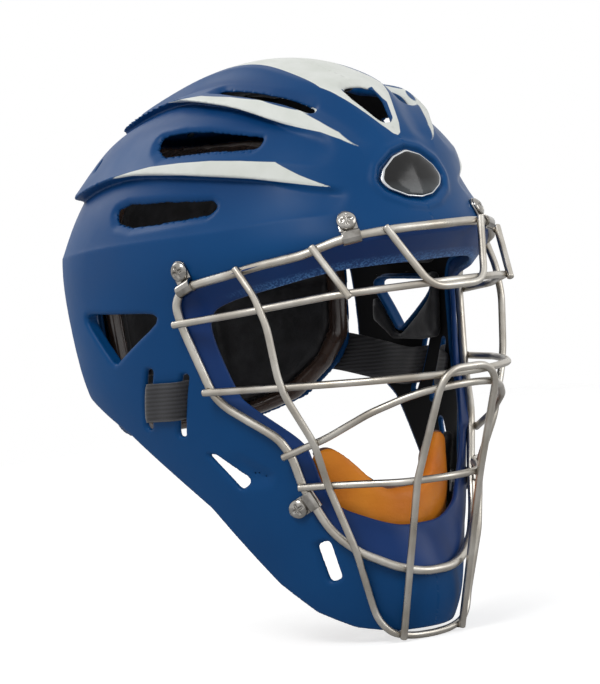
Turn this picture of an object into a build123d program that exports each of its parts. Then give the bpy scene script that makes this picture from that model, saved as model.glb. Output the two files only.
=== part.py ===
from build123d import *
import math
import os

os.makedirs("parts", exist_ok=True)

# Natural frame: +Z up, the face looks along -Y, the origin is the middle of the wearer's head.
overrun = 400.0
fit_gap = 0.3

# Outer form: level, half width, front, rear, place of the widest point
form_levels = [
    (-156.0, 41.0, -98.0, 60.0, -20.0),
    (-138.0, 52.0, -107.0, 70.0, -12.0),
    (-120.0, 61.0, -108.0, 80.0, -5.0),
    (-95.0, 71.0, -107.0, 93.0, 1.0),
    (-60.0, 84.0, -104.0, 108.0, 14.0),
    (-20.0, 97.0, -104.0, 120.0, 24.0),
    (20.0, 102.0, -112.0, 125.0, 28.0),
    (50.0, 102.0, -137.0, 126.0, 28.0),
    (66.0, 100.0, -130.0, 124.0, 24.0),
    (85.0, 95.0, -122.0, 118.0, 16.0),
    (105.0, 86.0, -112.0, 106.0, 6.0),
    (122.0, 74.0, -96.0, 88.0, -4.0),
    (136.0, 53.0, -74.0, 55.0, -12.0),
    (146.0, 30.0, -48.0, 22.0, -14.0),
    (149.7, 15.0, -32.0, 4.0, -14.0),
]
crown_level = 151.0
brow_level = 50.0
cap_power = 1.5
wall = 3.5
groove_depth = 6.0
form_sides = 28
round_sides = 12
shell_heart = 10.0

# Side outline of the front shell behind the face, height given second
rear_edge = [
    (-175.0, 175.0), (55.0, 175.0), (55.0, 118.0), (59.0, 90.0), (60.0, 58.0), (56.0, 30.0), (52.0, -5.0),
    (49.0, -18.0), (19.0, -38.0), (-22.0, -79.0), (-48.0, -121.0), (-63.0, -137.0), (-79.0, -146.0),
    (-94.0, -149.5), (-175.0, -149.5),
]
face_edge = [
    (-175.0, 52.5), (-136.0, 52.0), (-120.0, 50.5), (-88.0, 43.5), (-51.0, 36.5), (-38.0, 33.5),
    (-35.5, 27.0), (-36.0, 17.0), (-42.0, -15.0), (-47.0, -23.0), (-69.0, -42.5), (-74.0, -50.0),
    (-74.5, -67.0), (-77.0, -84.0), (-81.0, -95.0), (-91.0, -106.0), (-103.0, -116.0), (-109.0, -120.0),
    (-175.0, -120.0),
]

# Inner edge of the turned-in lip, one half, brow to chin, and the wall point that it starts from
lip_inner = [
    (0.0, -117.0, 38.0), (22.0, -115.0, 38.0), (44.0, -106.0, 37.0), (64.0, -84.0, 32.0), (75.0, -60.0, 27.0),
    (80.0, -50.0, 21.0), (80.0, -49.0, 9.0), (73.0, -54.0, -18.0), (69.0, -59.0, -27.0), (53.0, -76.0, -47.0),
    (49.5, -80.0, -57.0), (45.5, -81.0, -70.0), (39.0, -84.0, -82.0), (29.0, -92.0, -89.0), (14.0, -98.0, -95.0),
    (0.0, -99.0, -96.0),
]
lip_outer = [
    (0.0, -137.0, 53.0), (24.0, -133.0, 52.5), (46.0, -121.0, 51.0), (74.0, -89.0, 44.0), (87.0, -57.0, 38.0),
    (91.0, -38.0, 32.0), (90.0, -37.0, 13.0), (82.5, -45.0, -17.0), (77.0, -52.0, -27.0), (61.0, -73.0, -47.0),
    (56.0, -75.0, -57.0), (53.0, -75.5, -72.0), (49.0, -78.0, -86.0), (39.0, -86.0, -101.0), (20.0, -101.0, -116.0),
    (0.0, -108.0, -120.0),
]
lip_wall = 2.6
lip_root = 2.2

# Ridges: each groove has a sharp crest line and a far line where its floor meets the form again
crest_b = [(60.0, 121.0), (30.0, 129.0), (0.0, 132.0), (-35.0, 127.0), (-72.0, 117.0), (-97.0, 105.0)]
floor_b = [(60.0, 91.0), (30.0, 96.5), (0.0, 100.0), (-35.0, 100.0), (-72.0, 97.0), (-99.0, 92.0)]
crest_c = [(62.0, 87.0), (30.0, 93.0), (0.0, 95.0), (-43.0, 92.0), (-87.0, 85.0), (-105.0, 78.5)]
floor_c = [(62.0, 59.0), (30.0, 64.0), (0.0, 67.0), (-43.0, 69.0), (-87.0, 69.0), (-107.0, 70.5)]
crest_a = [(-41.0, 60.0), (-40.0, 20.0), (-40.0, -30.0), (-30.0, -80.0), (-20.0, -106.0)]
floor_a = [(-56.0, 60.0), (-56.5, 20.0), (-56.0, -30.0), (-50.0, -80.0), (-34.0, -106.0)]
crest_lean_share = 0.25
depth_shares_b = [1.15, 1.0, 1.0, 0.9, 0.65, 0.15]
depth_shares_c = [1.15, 1.0, 1.0, 0.9, 0.6, 0.15]
depth_shares_a = [1.0, 1.0, 1.0, 0.75, 0.15]
groove_cap = 14.0

# Openings through the wall, seen from the side
vent_b = [(-6.0, 112.0), (-10.0, 106.0), (-28.0, 102.5), (-76.0, 102.0), (-73.0, 108.5), (-40.0, 113.0)]
vent_c = [(12.0, 78.0), (8.0, 72.0), (-14.0, 68.5), (-58.0, 71.0), (-61.0, 77.0), (-20.0, 82.0)]
vent_cut = 2.0
vent_a = [(-47.0, -25.0), (-43.0, -23.0), (-29.0, -76.0), (-33.0, -79.0)]
slit_cut = 1.2
crown_vent = [(-9.0, -86.0), (-6.0, -82.0), (6.0, -82.0), (9.0, -86.0), (4.0, -102.0), (0.0, -108.0), (-4.0, -102.0)]
crown_vent_cut = 1.2
ear_hole = [(37.0, 27.0), (-28.0, 24.0), (15.0, -1.0)]
ear_cut = 6.0
ear_collar = 2.4
ear_collar_depth = 8.0
rear_slot = [(-13.0, -4.0), (-7.6, -4.0), (4.2, -35.0), (-1.2, -35.0)]
front_slot = [(-34.2, -8.0), (-28.8, -8.0), (-16.7, -40.0), (-22.1, -40.0)]
slot_cut = 1.0
jaw_slot = [(-31.0, -50.0), (-38.0, -52.0), (-50.0, -66.0), (-42.0, -71.0)]
jaw_slot_cut = 2.0
chin_slot = [(-74.0, -101.0), (-80.0, -99.0), (-81.0, -119.0), (-75.0, -121.0)]
chin_slot_cut = 1.8
small_hole_place = (46.0, 104.0)
small_hole_radius = 2.6

# Cage wires
frame_radius = 2.3
bar_radius = 1.9
weld = 0.4
wire_stand_off = 1.8
frame_bend = 22.0
bar_bend = 30.0
tight_bend = 7.0
end_tail = 2.5
run_share = 0.47
slight_turn = 0.35
weld_rounds = 3
path_steps = 400
frame_corners = [
    (0.0, -137.0, 53.3), (25.0, -133.0, 53.3), (46.0, -121.0, 51.7), (62.0, -106.0, 48.3), (74.0, -89.0, 45.0),
    (90.0, -52.0, 38.0), (93.5, -38.0, 35.0), (90.0, -38.5, 17.0), (82.0, -46.5, -17.0), (80.0, -50.5, -24.0),
    (64.5, -71.5, -42.5), (59.0, -76.0, -50.0), (54.0, -77.5, -70.0), (44.0, -83.0, -95.0), (34.0, -93.0, -106.5),
    (18.0, -106.0, -117.0), (0.0, -110.0, -121.0),
]
eye_corners = [(85.0, -78.0, 20.8), (74.0, -92.0, 22.5), (57.0, -120.0, 25.3), (38.0, -136.0, 26.0),
               (15.0, -147.0, 26.5), (0.0, -148.0, 26.5)]
eye_end = (95.0, -39.0, 18.5)
nose_corners = [(76.0, -82.0, -18.0), (62.0, -107.0, -18.5), (42.0, -133.0, -19.0), (15.0, -148.0, -19.5),
                (0.0, -149.0, -19.5)]
nose_end = (85.0, -44.0, -17.0)
slant_corners = [(55.0, -100.0, -46.0), (44.0, -123.0, -35.0), (28.0, -140.0, -27.5), (13.0, -148.0, -25.5),
                 (0.0, -149.0, -25.3)]
slant_end = (61.5, -74.0, -54.5)
lower_corners = [(48.5, -89.0, -70.7), (38.5, -103.0, -71.2), (26.5, -118.0, -72.0), (17.0, -126.5, -72.0),
                 (0.0, -129.0, -72.0)]
lower_end = (56.0, -75.0, -70.0)
long_u_crossings = (79.5, 76.5, 71.5, 57.0, 48.5, 38.5)
long_u_foot = [(31.0, -94.0, -138.0), (28.0, -96.0, -147.5), (18.0, -98.5, -152.3), (0.0, -100.0, -153.0)]
inverted_u_half = 13.5
inverted_u_rise = 2.4
inverted_u_leg = (17.5, 19.5)
inverted_u_foot_x = 20.5
strut_crossings = (58.0, 51.5)
loop_crossings = (28.5, 17.0)
loop_floor_half = 11.0
loop_drop = 2.4

# Clips, screws and nuts
clip_places = [(88.0, -42.0, 44.0), (42.0, -118.0, 60.5), (62.0, -66.0, -86.0)]
clip_width = 9.5
clip_reach = 9.2
clip_sheet = 1.2
clip_slack = 0.15
clip_opening = 0.8
clip_heel = 5.5
head_radius = 5.0
head_rim = 1.0
head_dome = 1.8
head_flat = 3.6
recess_arm = 6.0
recess_width = 1.4
recess_depth = 1.2
shank_radius = 1.9
bore_radius = 2.0
barrel_radius = 3.2
barrel_hole_radius = 3.4
nut_radius = 6.0
nut_plate = 1.5
nut_gap = 1.1
barrel_short = 0.8

# Badge
badge_centre_height = 81.0
badge_half_width = 18.5
badge_half_height = 12.5
badge_rise = 2.2

# Back plate and its lining
plate_side = 15.5
plate_front = 14.0
plate_rear = 8.0
plate_top = 14.0
plate_wall = 3.0
plate_outline = [(46.0, 175.0), (175.0, 175.0), (175.0, -47.0), (96.0, -47.0), (68.0, -34.0), (51.0, -16.0),
                 (46.0, -6.0)]
plate_cut = 5.0
liner_thick = 10.0
liner_outline = [(52.0, 104.0), (175.0, 104.0), (175.0, -38.0), (96.0, -38.0), (72.0, -27.0), (56.0, -10.0),
                 (50.0, 4.0)]
rim_band = 9.0
rim_thick = 12.0
rim_outline = [(52.0, 112.0), (175.0, 112.0), (175.0, -45.0), (99.0, -45.0), (76.0, -35.0), (60.0, -18.0),
               (50.0, -2.0)]
plate_vent = [(-26.0, 42.0), (26.0, 42.0), (26.0, 54.0), (-26.0, 54.0)]
lip_clear = 0.35

# Top tab and side straps
tab_half = 10.0
tab_sheet = 2.0
tab_on_shell = (22.0, 31.0, 40.0)
tab_on_plate = (54.0, 61.0, 69.0)
shell_rivet_y = 27.0
plate_rivet_y = 64.0
rivet_radius = 3.8
rivet_head = 1.3
rivet_shank = 2.0
rivet_hole = 2.05
strap_sheet = 1.4
strap_gap = 2.0
strap_rise = 0.6
strap_half_width = 10.0
strap_run = [
    ("inside", -40.0, -26.0), ("inside", -28.2, -21.5), ("outside", -24.8, -21.5), ("outside", -14.0, -21.5),
    ("outside", -5.3, -21.5), ("inside", -2.0, -21.5), ("inside", 12.0, -21.5), ("inside", 34.0, -17.5),
    ("plate", 54.0, -11.0), ("plate", 70.0, -9.0),
]
strap_slant_share = -0.38
strap_rivet_place = (62.0, -10.0)

# Pads
pad_gap = 4.2
groove_pad_gap = 6.6
pad_thick = 10.0
forehead_outline = [(-58.0, 58.0), (58.0, 58.0), (56.0, 78.0), (34.0, 90.0), (-34.0, 90.0), (-56.0, 78.0)]
forehead_thick = 12.0
crown_outline = [(-28.0, 17.0), (28.0, 17.0), (28.0, -40.0), (18.0, -64.0), (-18.0, -64.0), (-28.0, -40.0)]
crown_gap = 5.0
side_outline = [(-28.0, 33.0), (37.0, 36.0), (37.0, 54.0), (-28.0, 54.0)]
foam_outline = [(-31.0, -7.0), (-8.0, -8.5), (20.0, -7.5), (37.0, 4.0), (37.0, 32.5), (-31.0, 29.5)]
foam_thick = 8.0
foam_clear = 3.4
jaw_outline = [(-66.0, -56.0), (-55.0, -54.0), (-53.0, -73.0), (-44.0, -82.0), (-44.0, -98.0), (-59.0, -98.0),
               (-60.5, -74.0)]
jaw_gap = 4.6
pad_cut = 3.5
chin_outline = [(-110.0, -101.0), (-110.0, -74.0), (-88.0, -63.0), (-78.0, -52.0), (-70.5, -54.0), (-70.5, -80.0),
                (-84.0, -103.0)]
chin_front_gap = 12.0
chin_gap = 3.9
chin_thick = 14.0


def shift_share(level):
    """Share of an inset that lowers the level: nothing at the brow, all at the crown."""
    climb = max(0.0, (level - brow_level) / (crown_level - brow_level))
    return climb ** cap_power


def facet(*corners):
    """One flat face."""
    return Face(Wire.make_polygon(corners, close=True))


def faceted(slices):
    """Solid with flat triangular sides through slices of equal point counts, the same on both halves."""
    count = len(slices[0])
    faces = [facet(*slices[0]), facet(*slices[-1])]
    for near, far in zip(slices, slices[1:]):
        for index in range(count):
            after = (index + 1) % count
            start, end = (index, after) if index < count / 2 else (after, index)
            faces.append(facet(near[start], near[end], far[end]))
            faces.append(facet(near[start], far[end], far[start]))
    return Solid(Shell(faces))


def form(side=0.0, front=0.0, rear=0.0, top=0.0):
    """The egg of the outer form, drawn in by these depths."""
    rings = []
    for level, half_width, front_y, rear_y, widest_y in form_levels:
        down = shift_share(level)
        across = math.sqrt(1 - down ** 2)
        half = half_width - side * across
        fore = widest_y - front_y - front * across
        aft = rear_y - widest_y - rear * across
        ring = []
        for step in range(form_sides):
            turn = 2 * math.pi * step / form_sides
            reach = fore if math.cos(turn) > 0 else aft
            ring.append((half * math.sin(turn), widest_y - reach * math.cos(turn), level - top * down))
        rings.append(ring)
    return faceted(rings)


def even_form(depth):
    """The outer form drawn in by the same depth all round."""
    return form(depth, depth, depth, depth)


def outline(points, cut=0.0):
    """A flat outline with its corners cut."""
    face = Polygon(*points, align=None)
    return chamfer(face.vertices(), cut) if cut else face


def peg(radius, long):
    """Upright round pin about the origin, its round drawn with flats."""
    return extrude(RegularPolygon(radius, round_sides), amount=long / 2, both=True)


def side_prism(points, cut=0.0):
    """An outline in side view, run through along X."""
    return extrude(Plane.YZ * outline(points, cut), amount=overrun, both=True)


def top_prism(points, cut=0.0):
    """An outline in top view, run upward."""
    return extrude(outline(points, cut), amount=overrun, dir=(0, 0, 1))


def near_half():
    """Everything on the -X side."""
    return Pos(-overrun / 2, 0, 0) * Box(overrun, 2 * overrun, 2 * overrun)


def mirrored(solid):
    """The same solid on the other side of the head."""
    return mirror(solid, about=Plane.YZ)


def touch(solid, start, direction):
    """Where a ray from inside leaves the solid, and its outward normal."""
    aim = Vector(*direction).normalized()
    best = None
    for place, normal in solid.find_intersection_points(Axis(start, tuple(aim))):
        along = (place - Vector(*start)).dot(aim)
        if best is None or along > best[0]:
            best = (along, place, normal if normal.dot(aim) > 0 else normal * -1)
    return best[1], best[2]


def seat(solid, point, height=0.0):
    """The point pushed along its level ray onto the solid, then lifted off by a height."""
    x, y, z = point
    start = (0.0, shell_heart, z)
    place, normal = touch(solid, start, (x, y - shell_heart, 0.0))
    return place + normal * height


def bent_path(corners, bend, closed=False):
    """Straight runs, with a short run across each bend that is not slight."""
    spots = [Vector(*corner) for corner in corners]
    if closed:
        middle = (spots[0] + spots[-1]) * 0.5
        spots = [middle] + spots + [middle]
    points = [spots[0]]
    for before, corner, after in zip(spots, spots[1:], spots[2:]):
        come = (corner - before).normalized()
        leave = (after - corner).normalized()
        turn = math.acos(max(-1.0, min(1.0, come.dot(leave))))
        if turn < slight_turn:
            points.append(corner)
            continue
        room = min((corner - before).length, (after - corner).length) * run_share
        cut = min(bend * math.tan(turn / 2), room)
        points += [corner - come * cut, corner + leave * cut]
    return Wire.make_polygon(points + [spots[-1]], close=False)


def rod(path, radius):
    """Wire along a path, its round drawn with flats and mitred where it turns."""
    profile = Plane(origin=path @ 0, z_dir=path % 0) * RegularPolygon(radius, round_sides)
    return sweep(profile, path=path, transition=Transition.RIGHT)


def both_ways(half):
    """A half path from its outer end to the middle, then out again on the other side."""
    points = [tuple(point) for point in half]
    return points + [(-x, y, z) for x, y, z in reversed(points[:-1])]


def crossing(path, x, offset):
    """Centre of a wire that lies outside the path where it passes this x, and the path's own point there."""
    one_sided = min((path @ 0).X, (path @ 1).X) > -1
    low, high = (0.0, 1.0) if one_sided else (0.0, 0.5)
    falling = (path @ low).X > (path @ high).X
    for _ in range(40):
        middle = (low + high) / 2
        if ((path @ middle).X > x) == falling:
            low = middle
        else:
            high = middle
    place = path @ low
    run = path % low
    out = Vector(run.Y, -run.X, 0).normalized()
    out = out if out.Y < 0 else out * -1
    return place + out * offset


def lip_ring(extra=0.0):
    """The lip that turns in round the face opening, as flat slices joined in a ruled loft."""
    slices = []
    for outer, inner in zip(lip_outer, lip_inner):
        root = seat(shell_form, outer, -lip_root)
        edge = Vector(*inner) + (Vector(*inner) - root).normalized() * extra
        across = (edge - root).normalized()
        back = Vector(0, 1, 0) if abs(outer[0]) < 1 else Vector(-outer[0], shell_heart - outer[1], 0).normalized()
        thick = (back - across * back.dot(across)).normalized() * (lip_wall + extra)
        slices.append([root, edge, edge + thick, root + thick])
    return faceted([[tuple(corner) for corner in corners] for corners in slices])


def groove_slices(crest, floor, shares, to_place, extra):
    """Slices of one groove: lip over the crest, bottom under it, far line on the form, cap outside."""
    slices = []
    for upper, lower, share in zip(crest, floor, shares):
        top, top_normal = to_place(upper)
        far, far_normal = to_place(lower)
        depth = groove_depth * share + extra
        across = (far - top).normalized()
        out = (top_normal - across * top_normal.dot(across)).normalized()
        bottom = top - out * depth - across * (groove_depth * share * crest_lean_share + extra)
        low = far - out * extra + across * extra
        cap_far = far + out * groove_cap + across * extra
        cap_top = top + out * groove_cap - across * extra
        slices.append([tuple(cap_top), tuple(bottom), tuple(low), tuple(cap_far)])
    return slices


def groove(crest, floor, shares, to_place, extra=0.0):
    """Solid of one groove, grown by an extra depth for its lining."""
    return faceted(groove_slices(crest, floor, shares, to_place, extra))


def on_side(point):
    """Place on the -X side of the form from a side-view point."""
    return touch(shell_form, (0.0, point[0], point[1]), (-1.0, 0.0, 0.0))


def on_top(point):
    """Place on top of the form from a top-view point."""
    return touch(shell_form, (point[0], point[1], 0.0), (0.0, 0.0, 1.0))


def shell_half():
    """The near half of the front shell: wall, lined grooves, openings."""
    half = (shell_form - even_form(wall)) & side_prism(rear_edge) & near_half()
    half -= side_prism(face_edge)
    ridges = [(crest_b, floor_b, depth_shares_b, on_side), (crest_c, floor_c, depth_shares_c, on_side),
              (crest_a, floor_a, depth_shares_a, on_top)]
    linings = [groove(*ridge, extra=wall) for ridge in ridges]
    trim = side_prism(rear_edge)
    for lining in linings:
        half += (lining & shell_form) & trim
    for ridge in ridges:
        half -= groove(*ridge)
    return half


def shell_openings():
    """Everything cut through both side walls in side view."""
    cutters = [side_prism(vent_b, vent_cut), side_prism(vent_c, vent_cut)]
    cutters += [side_prism(ear_hole, ear_cut), side_prism(rear_slot, slot_cut)]
    cutters += [side_prism(front_slot, slot_cut), side_prism(jaw_slot, jaw_slot_cut)]
    cutters.append(side_prism(chin_slot, chin_slot_cut))
    cutters.append(Pos(0, *small_hole_place) * Rot(0, 90, 0) * peg(small_hole_radius, 2 * overrun))
    return cutters


def ear_collars():
    """The flange that turns inward round each ear hole."""
    grown = offset(Plane.YZ * outline(ear_hole, ear_cut), amount=ear_collar, kind=Kind.INTERSECTION)
    tube = extrude(grown, amount=overrun, both=True) - side_prism(ear_hole, ear_cut)
    return tube & (even_form(fit_gap) - even_form(wall + ear_collar_depth))


def front_shell():
    """The one-piece outer shell with its lip."""
    half = shell_half()
    for cutter in shell_openings():
        half -= cutter
    half -= top_prism(vent_a, slit_cut)
    half += ear_collars() & near_half()
    half += mirrored(lip_ring())
    shell = half + mirrored(half)
    shell -= top_prism(crown_vent, crown_vent_cut)
    for frame in screw_frames():
        shell -= frame * peg(barrel_hole_radius, 6 * wall)
    return shell


def screw_frames():
    """One frame per cage clip: origin on the shell, Z outward, X toward the wire."""
    frames = []
    for place in clip_places:
        spot = seat(shell_form, place)
        normal = (seat(shell_form, place, 1.0) - spot).normalized()
        nearest = nearest_on(frame_path, spot)[0]
        toward = nearest - spot
        toward = (toward - normal * toward.dot(normal)).normalized()
        spot = seat(shell_form, tuple(nearest - toward * clip_reach))
        normal = (seat(shell_form, tuple(spot), 1.0) - spot).normalized()
        toward = (nearest - spot) - normal * (nearest - spot).dot(normal)
        frames.append(Plane(origin=spot, x_dir=toward, z_dir=normal))
    mirror_frames = [Plane(origin=(-f.origin.X, f.origin.Y, f.origin.Z), x_dir=(-f.x_dir.X, f.x_dir.Y, f.x_dir.Z),
                           z_dir=(-f.z_dir.X, f.z_dir.Y, f.z_dir.Z)) for f in frames]
    return frames + mirror_frames


def clip(frame):
    """A folded sheet clip: tongue under the screw, hook over the wire."""
    local = frame.to_local_coords(nearest_on(frame_path, frame.origin)[0])
    inner = frame_radius + clip_slack
    outer = inner + clip_sheet
    tongue_long = local.X + clip_heel
    tongue = Pos(local.X - tongue_long / 2, fit_gap + clip_sheet / 2) * Rectangle(tongue_long, clip_sheet)
    face = tongue + Pos(local.X, local.Z) * RegularPolygon(outer, round_sides, major_radius=False)
    face -= Pos(local.X, local.Z) * RegularPolygon(inner, round_sides, major_radius=False)
    face -= Pos(local.X, fit_gap - outer) * Rectangle(4 * outer, 2 * outer)
    face -= Pos(local.X - inner + outer, local.Z - clip_opening - outer) * Rectangle(2 * outer, 2 * outer)
    solid = extrude(Plane.XZ * face, amount=clip_width / 2, both=True)
    return frame * (solid - peg(bore_radius, 8 * clip_sheet))


def screw(frame):
    """Screw with a bevelled head and a cross recess."""
    base = fit_gap + clip_sheet
    deep = base + head_rim + head_dome
    ends = [Plane.XY.offset(height) * RegularPolygon(radius, round_sides)
            for height, radius in ((base + head_rim, head_radius), (deep, head_flat))]
    head = Pos(0, 0, base + head_rim / 2) * peg(head_radius, head_rim) + loft(ends, ruled=True)
    cross = Box(recess_arm, recess_width, 2 * recess_depth) + Box(recess_width, recess_arm, 2 * recess_depth)
    shank_long = wall + nut_gap + nut_plate + base
    shank = Pos(0, 0, base - shank_long / 2) * peg(shank_radius, shank_long)
    return frame * (head - Pos(0, 0, deep) * cross + shank)


def nut(frame):
    """Flanged nut on the inner wall with a barrel in the shell."""
    top = -wall - nut_gap
    plate = extrude(Plane.XY.offset(top) * RegularPolygon(nut_radius, round_sides), amount=-nut_plate)
    barrel_long = wall + nut_gap - barrel_short
    barrel = Pos(0, 0, top + barrel_long / 2) * peg(barrel_radius, barrel_long)
    return frame * (plate + barrel - peg(bore_radius, 8 * wall))


def frame_wire_path():
    """Closed wire that lies round the face opening."""
    lift = frame_radius + wire_stand_off
    half = [tuple(seat(shell_form, corner, lift)) for corner in frame_corners]
    half[0] = (0.0, half[0][1], half[0][2])
    half[-1] = (0.0, half[-1][1], half[-1][2])
    back = [(-x, y, z) for x, y, z in reversed(half[1:-1])]
    return bent_path(half + back, frame_bend, closed=True)


def nearest_on(path, point):
    """The place along a path that is nearest to a point, and the path's direction there."""
    share = min((step / path_steps for step in range(path_steps + 1)),
                key=lambda at: (path @ at - point).length)
    return path @ share, path % share


def bar_path(end, corners):
    """Cross wire whose ends lie on the outer side of the frame wire."""
    spot = seat(shell_form, end, wire_stand_off + frame_radius)
    place, run = nearest_on(frame_path, spot)
    out = Vector(spot.X, spot.Y - shell_heart, 0)
    first = place + out.normalized() * (frame_radius + bar_radius)
    for _ in range(weld_rounds):
        toward = (Vector(*corners[0]) - first).normalized()
        side = toward.cross(run).normalized()
        side = side if side.dot(out) > 0 else side * -1
        first = place + side * (frame_radius + bar_radius - weld)
    start = first - toward * end_tail
    return bent_path(both_ways([tuple(start)] + corners), bar_bend)


def long_u_path():
    """Long U from brow to chin, outside the cross wires."""
    tops = long_u_crossings
    frame_step = frame_radius + bar_radius - weld
    bar_step = 2 * bar_radius - weld
    spots = [crossing(frame_upper, tops[0], frame_step)]
    spots += [crossing(path, x, bar_step) for path, x in zip(bar_paths, tops[1:5])]
    spots.append(crossing(frame_lower, tops[5], frame_step))
    rise = (spots[0] - spots[1]).normalized()
    points = [tuple(spots[0] + rise * end_tail)] + [tuple(spot) for spot in spots[1:]]
    return bent_path(both_ways(points + long_u_foot), bar_bend)


def inverted_u_path():
    """Upside-down U: its top lies on the nose bar, its legs end on the long U."""
    step = 2 * bar_radius - weld
    ahead = math.sqrt(step ** 2 - inverted_u_rise ** 2)
    nose = crossing(bar_paths[1], 0.001, 0.0)
    top = Vector(0, nose.Y - ahead, nose.Z + inverted_u_rise)
    knee = crossing(bar_paths[2], inverted_u_leg[0], step)
    shin = crossing(bar_paths[3], inverted_u_leg[1], step)
    lowest = crossing_low(inverted_u_foot_x)
    down = (lowest - shin).normalized()
    half = [tuple(lowest + down * end_tail), tuple(shin), tuple(knee), (inverted_u_half, top.Y, top.Z),
            (0.0, top.Y, top.Z)]
    return bent_path(both_ways(half), tight_bend)


def crossing_low(x):
    """Centre of a leg end that lies in front of the long U's bottom."""
    foot = nearest_on(long_path, Vector(x, *long_u_foot[2][1:]))[0]
    return foot + Vector(0, -1, 0) * (2 * bar_radius - weld)


def strut_path():
    """Short slanted strut from the frame wire to the eye bar."""
    top = crossing(frame_upper, strut_crossings[0], frame_radius + bar_radius - weld)
    low = crossing(bar_paths[0], strut_crossings[1], 2 * bar_radius - weld)
    run = (top - low).normalized() * end_tail
    return Wire([Line(tuple(top + run), tuple(low - run)).edge()])


def loop_path():
    """Centre loop: both ends on the frame wire, its floor in front of the eye bar."""
    step = 2 * bar_radius - weld
    top = crossing(frame_upper, loop_crossings[0], frame_radius + bar_radius - weld)
    low = crossing(bar_paths[0], loop_crossings[1], step)
    eye = crossing(bar_paths[0], 0.001, 0.0)
    ahead = math.sqrt(step ** 2 - loop_drop ** 2)
    run = (top - low).normalized() * end_tail
    half = [tuple(top + run), tuple(low), (loop_floor_half, eye.Y - ahead, eye.Z - loop_drop),
            (0.0, eye.Y - ahead, eye.Z - loop_drop)]
    return bent_path(both_ways(half), tight_bend)


def badge():
    """Plain oval dome seated in front of the crown."""
    spot, normal = touch(shell_form, (0.0, 0.0, badge_centre_height), (0.0, -1.0, 0.0))
    oval = Plane(origin=spot, x_dir=(1, 0, 0), z_dir=normal) * Ellipse(badge_half_width, badge_half_height)
    column = extrude(oval, amount=overrun / 8, both=True)
    return column & (even_form(-badge_rise) - even_form(-fit_gap))


def lining_piece(gap, thick, view, points, cut):
    """Soft piece between two insets of the outer form, cut to an outline."""
    body = even_form(gap) - even_form(gap + thick)
    return body & view(points, cut)


def front_prism(points, cut=0.0):
    """An outline in front view, run through toward the face side."""
    return extrude(Plane.XZ * outline(points, cut), amount=overrun, dir=(0, -1, 0))


def plate_form(depth):
    """Form of the back plate, drawn in by a depth."""
    return form(plate_side + depth, plate_front + depth, plate_rear + depth, plate_top + depth)


def rear_prism(points):
    """Rectangle in rear view, run backward."""
    return extrude(Plane.XZ * outline(points), amount=overrun, dir=(0, 1, 0))


def back_plate():
    """Rear shell tucked inside the front shell."""
    plate = (plate_form(0.0) - plate_form(plate_wall)) & side_prism(plate_outline, plate_cut)
    plate -= rear_prism(plate_vent)
    for frame in plate_rivet_frames():
        plate -= frame * peg(rivet_hole, 6 * plate_wall)
    return plate


def back_liner():
    """Black padded lining of the back plate."""
    depth = plate_wall + fit_gap
    body = plate_form(depth) - plate_form(depth + liner_thick)
    return (body & side_prism(liner_outline, plate_cut)) - rear_prism(plate_vent)


def liner_rim():
    """Rolled rim along the edge of the back lining."""
    depth = plate_wall + fit_gap
    body = plate_form(depth) - plate_form(depth + rim_thick)
    inner = side_prism([(y - fit_gap, z) for y, z in liner_outline], plate_cut)
    grown = side_prism([(y - rim_band, z) for y, z in rim_outline], plate_cut)
    return (body & grown) - inner


def chin_pad():
    """U-shaped chin pad, its arms rising along the jaw."""
    outer = form(chin_gap, chin_front_gap, chin_gap, chin_gap)
    inner = form(chin_gap + chin_thick, chin_front_gap + chin_thick, chin_gap, chin_gap)
    body = (outer - inner) & side_prism(chin_outline, pad_cut)
    guard = lip_ring(lip_clear)
    body -= guard
    return body - mirrored(guard)


def ear_foam():
    """Foam ring round the near ear hole."""
    body = lining_piece(pad_gap, foam_thick, side_prism, foam_outline, pad_cut)
    grown = offset(Plane.YZ * outline(ear_hole, ear_cut), amount=foam_clear, kind=Kind.INTERSECTION)
    window = extrude(grown, amount=overrun, both=True)
    return (body - window) & near_half()


def rivet_at(spot, normal):
    """Frame on a surface for one rivet."""
    return Plane(origin=spot, x_dir=(1, 0, 0) if abs(normal.X) < 0.7 else (0, 0, 1), z_dir=normal)


def rivet(frame, stack):
    """Low domed rivet whose shank runs down through a stack of this height."""
    head = Pos(0, 0, stack + rivet_head / 2) * peg(rivet_radius, rivet_head)
    long = stack + plate_wall
    shank = Pos(0, 0, stack - long / 2) * peg(rivet_shank, long)
    return frame * (head + shank)


def plate_rivet_frames():
    """Rivets of the back plate: the tab's, then the two straps'."""
    plate = plate_form(0.0)
    tab_frame = rivet_at(*touch(plate, (0.0, plate_rivet_y, 0.0), (0.0, 0.0, 1.0)))
    spot, normal = touch(plate, (0.0, *strap_rivet_place), (-1.0, 0.0, 0.0))
    other_spot = Vector(-spot.X, spot.Y, spot.Z)
    other_normal = Vector(-normal.X, normal.Y, normal.Z)
    return [tab_frame, rivet_at(spot, normal), rivet_at(other_spot, other_normal)]


def shell_rivet():
    """Rivet that holds the tab to the crown."""
    spot, normal = touch(shell_form, (0.0, shell_rivet_y, 0.0), (0.0, 0.0, 1.0))
    frame = rivet_at(spot, normal)
    head = Pos(0, 0, rivet_head / 2 + fit_gap) * peg(rivet_radius, rivet_head)
    long = wall + tab_sheet + 3 * rivet_head
    shank = Pos(0, 0, rivet_head - long / 2) * peg(rivet_shank, long)
    foot = Pos(0, 0, rivet_head - long) * peg(rivet_radius, rivet_head)
    return frame * (head + shank + foot), frame


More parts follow.
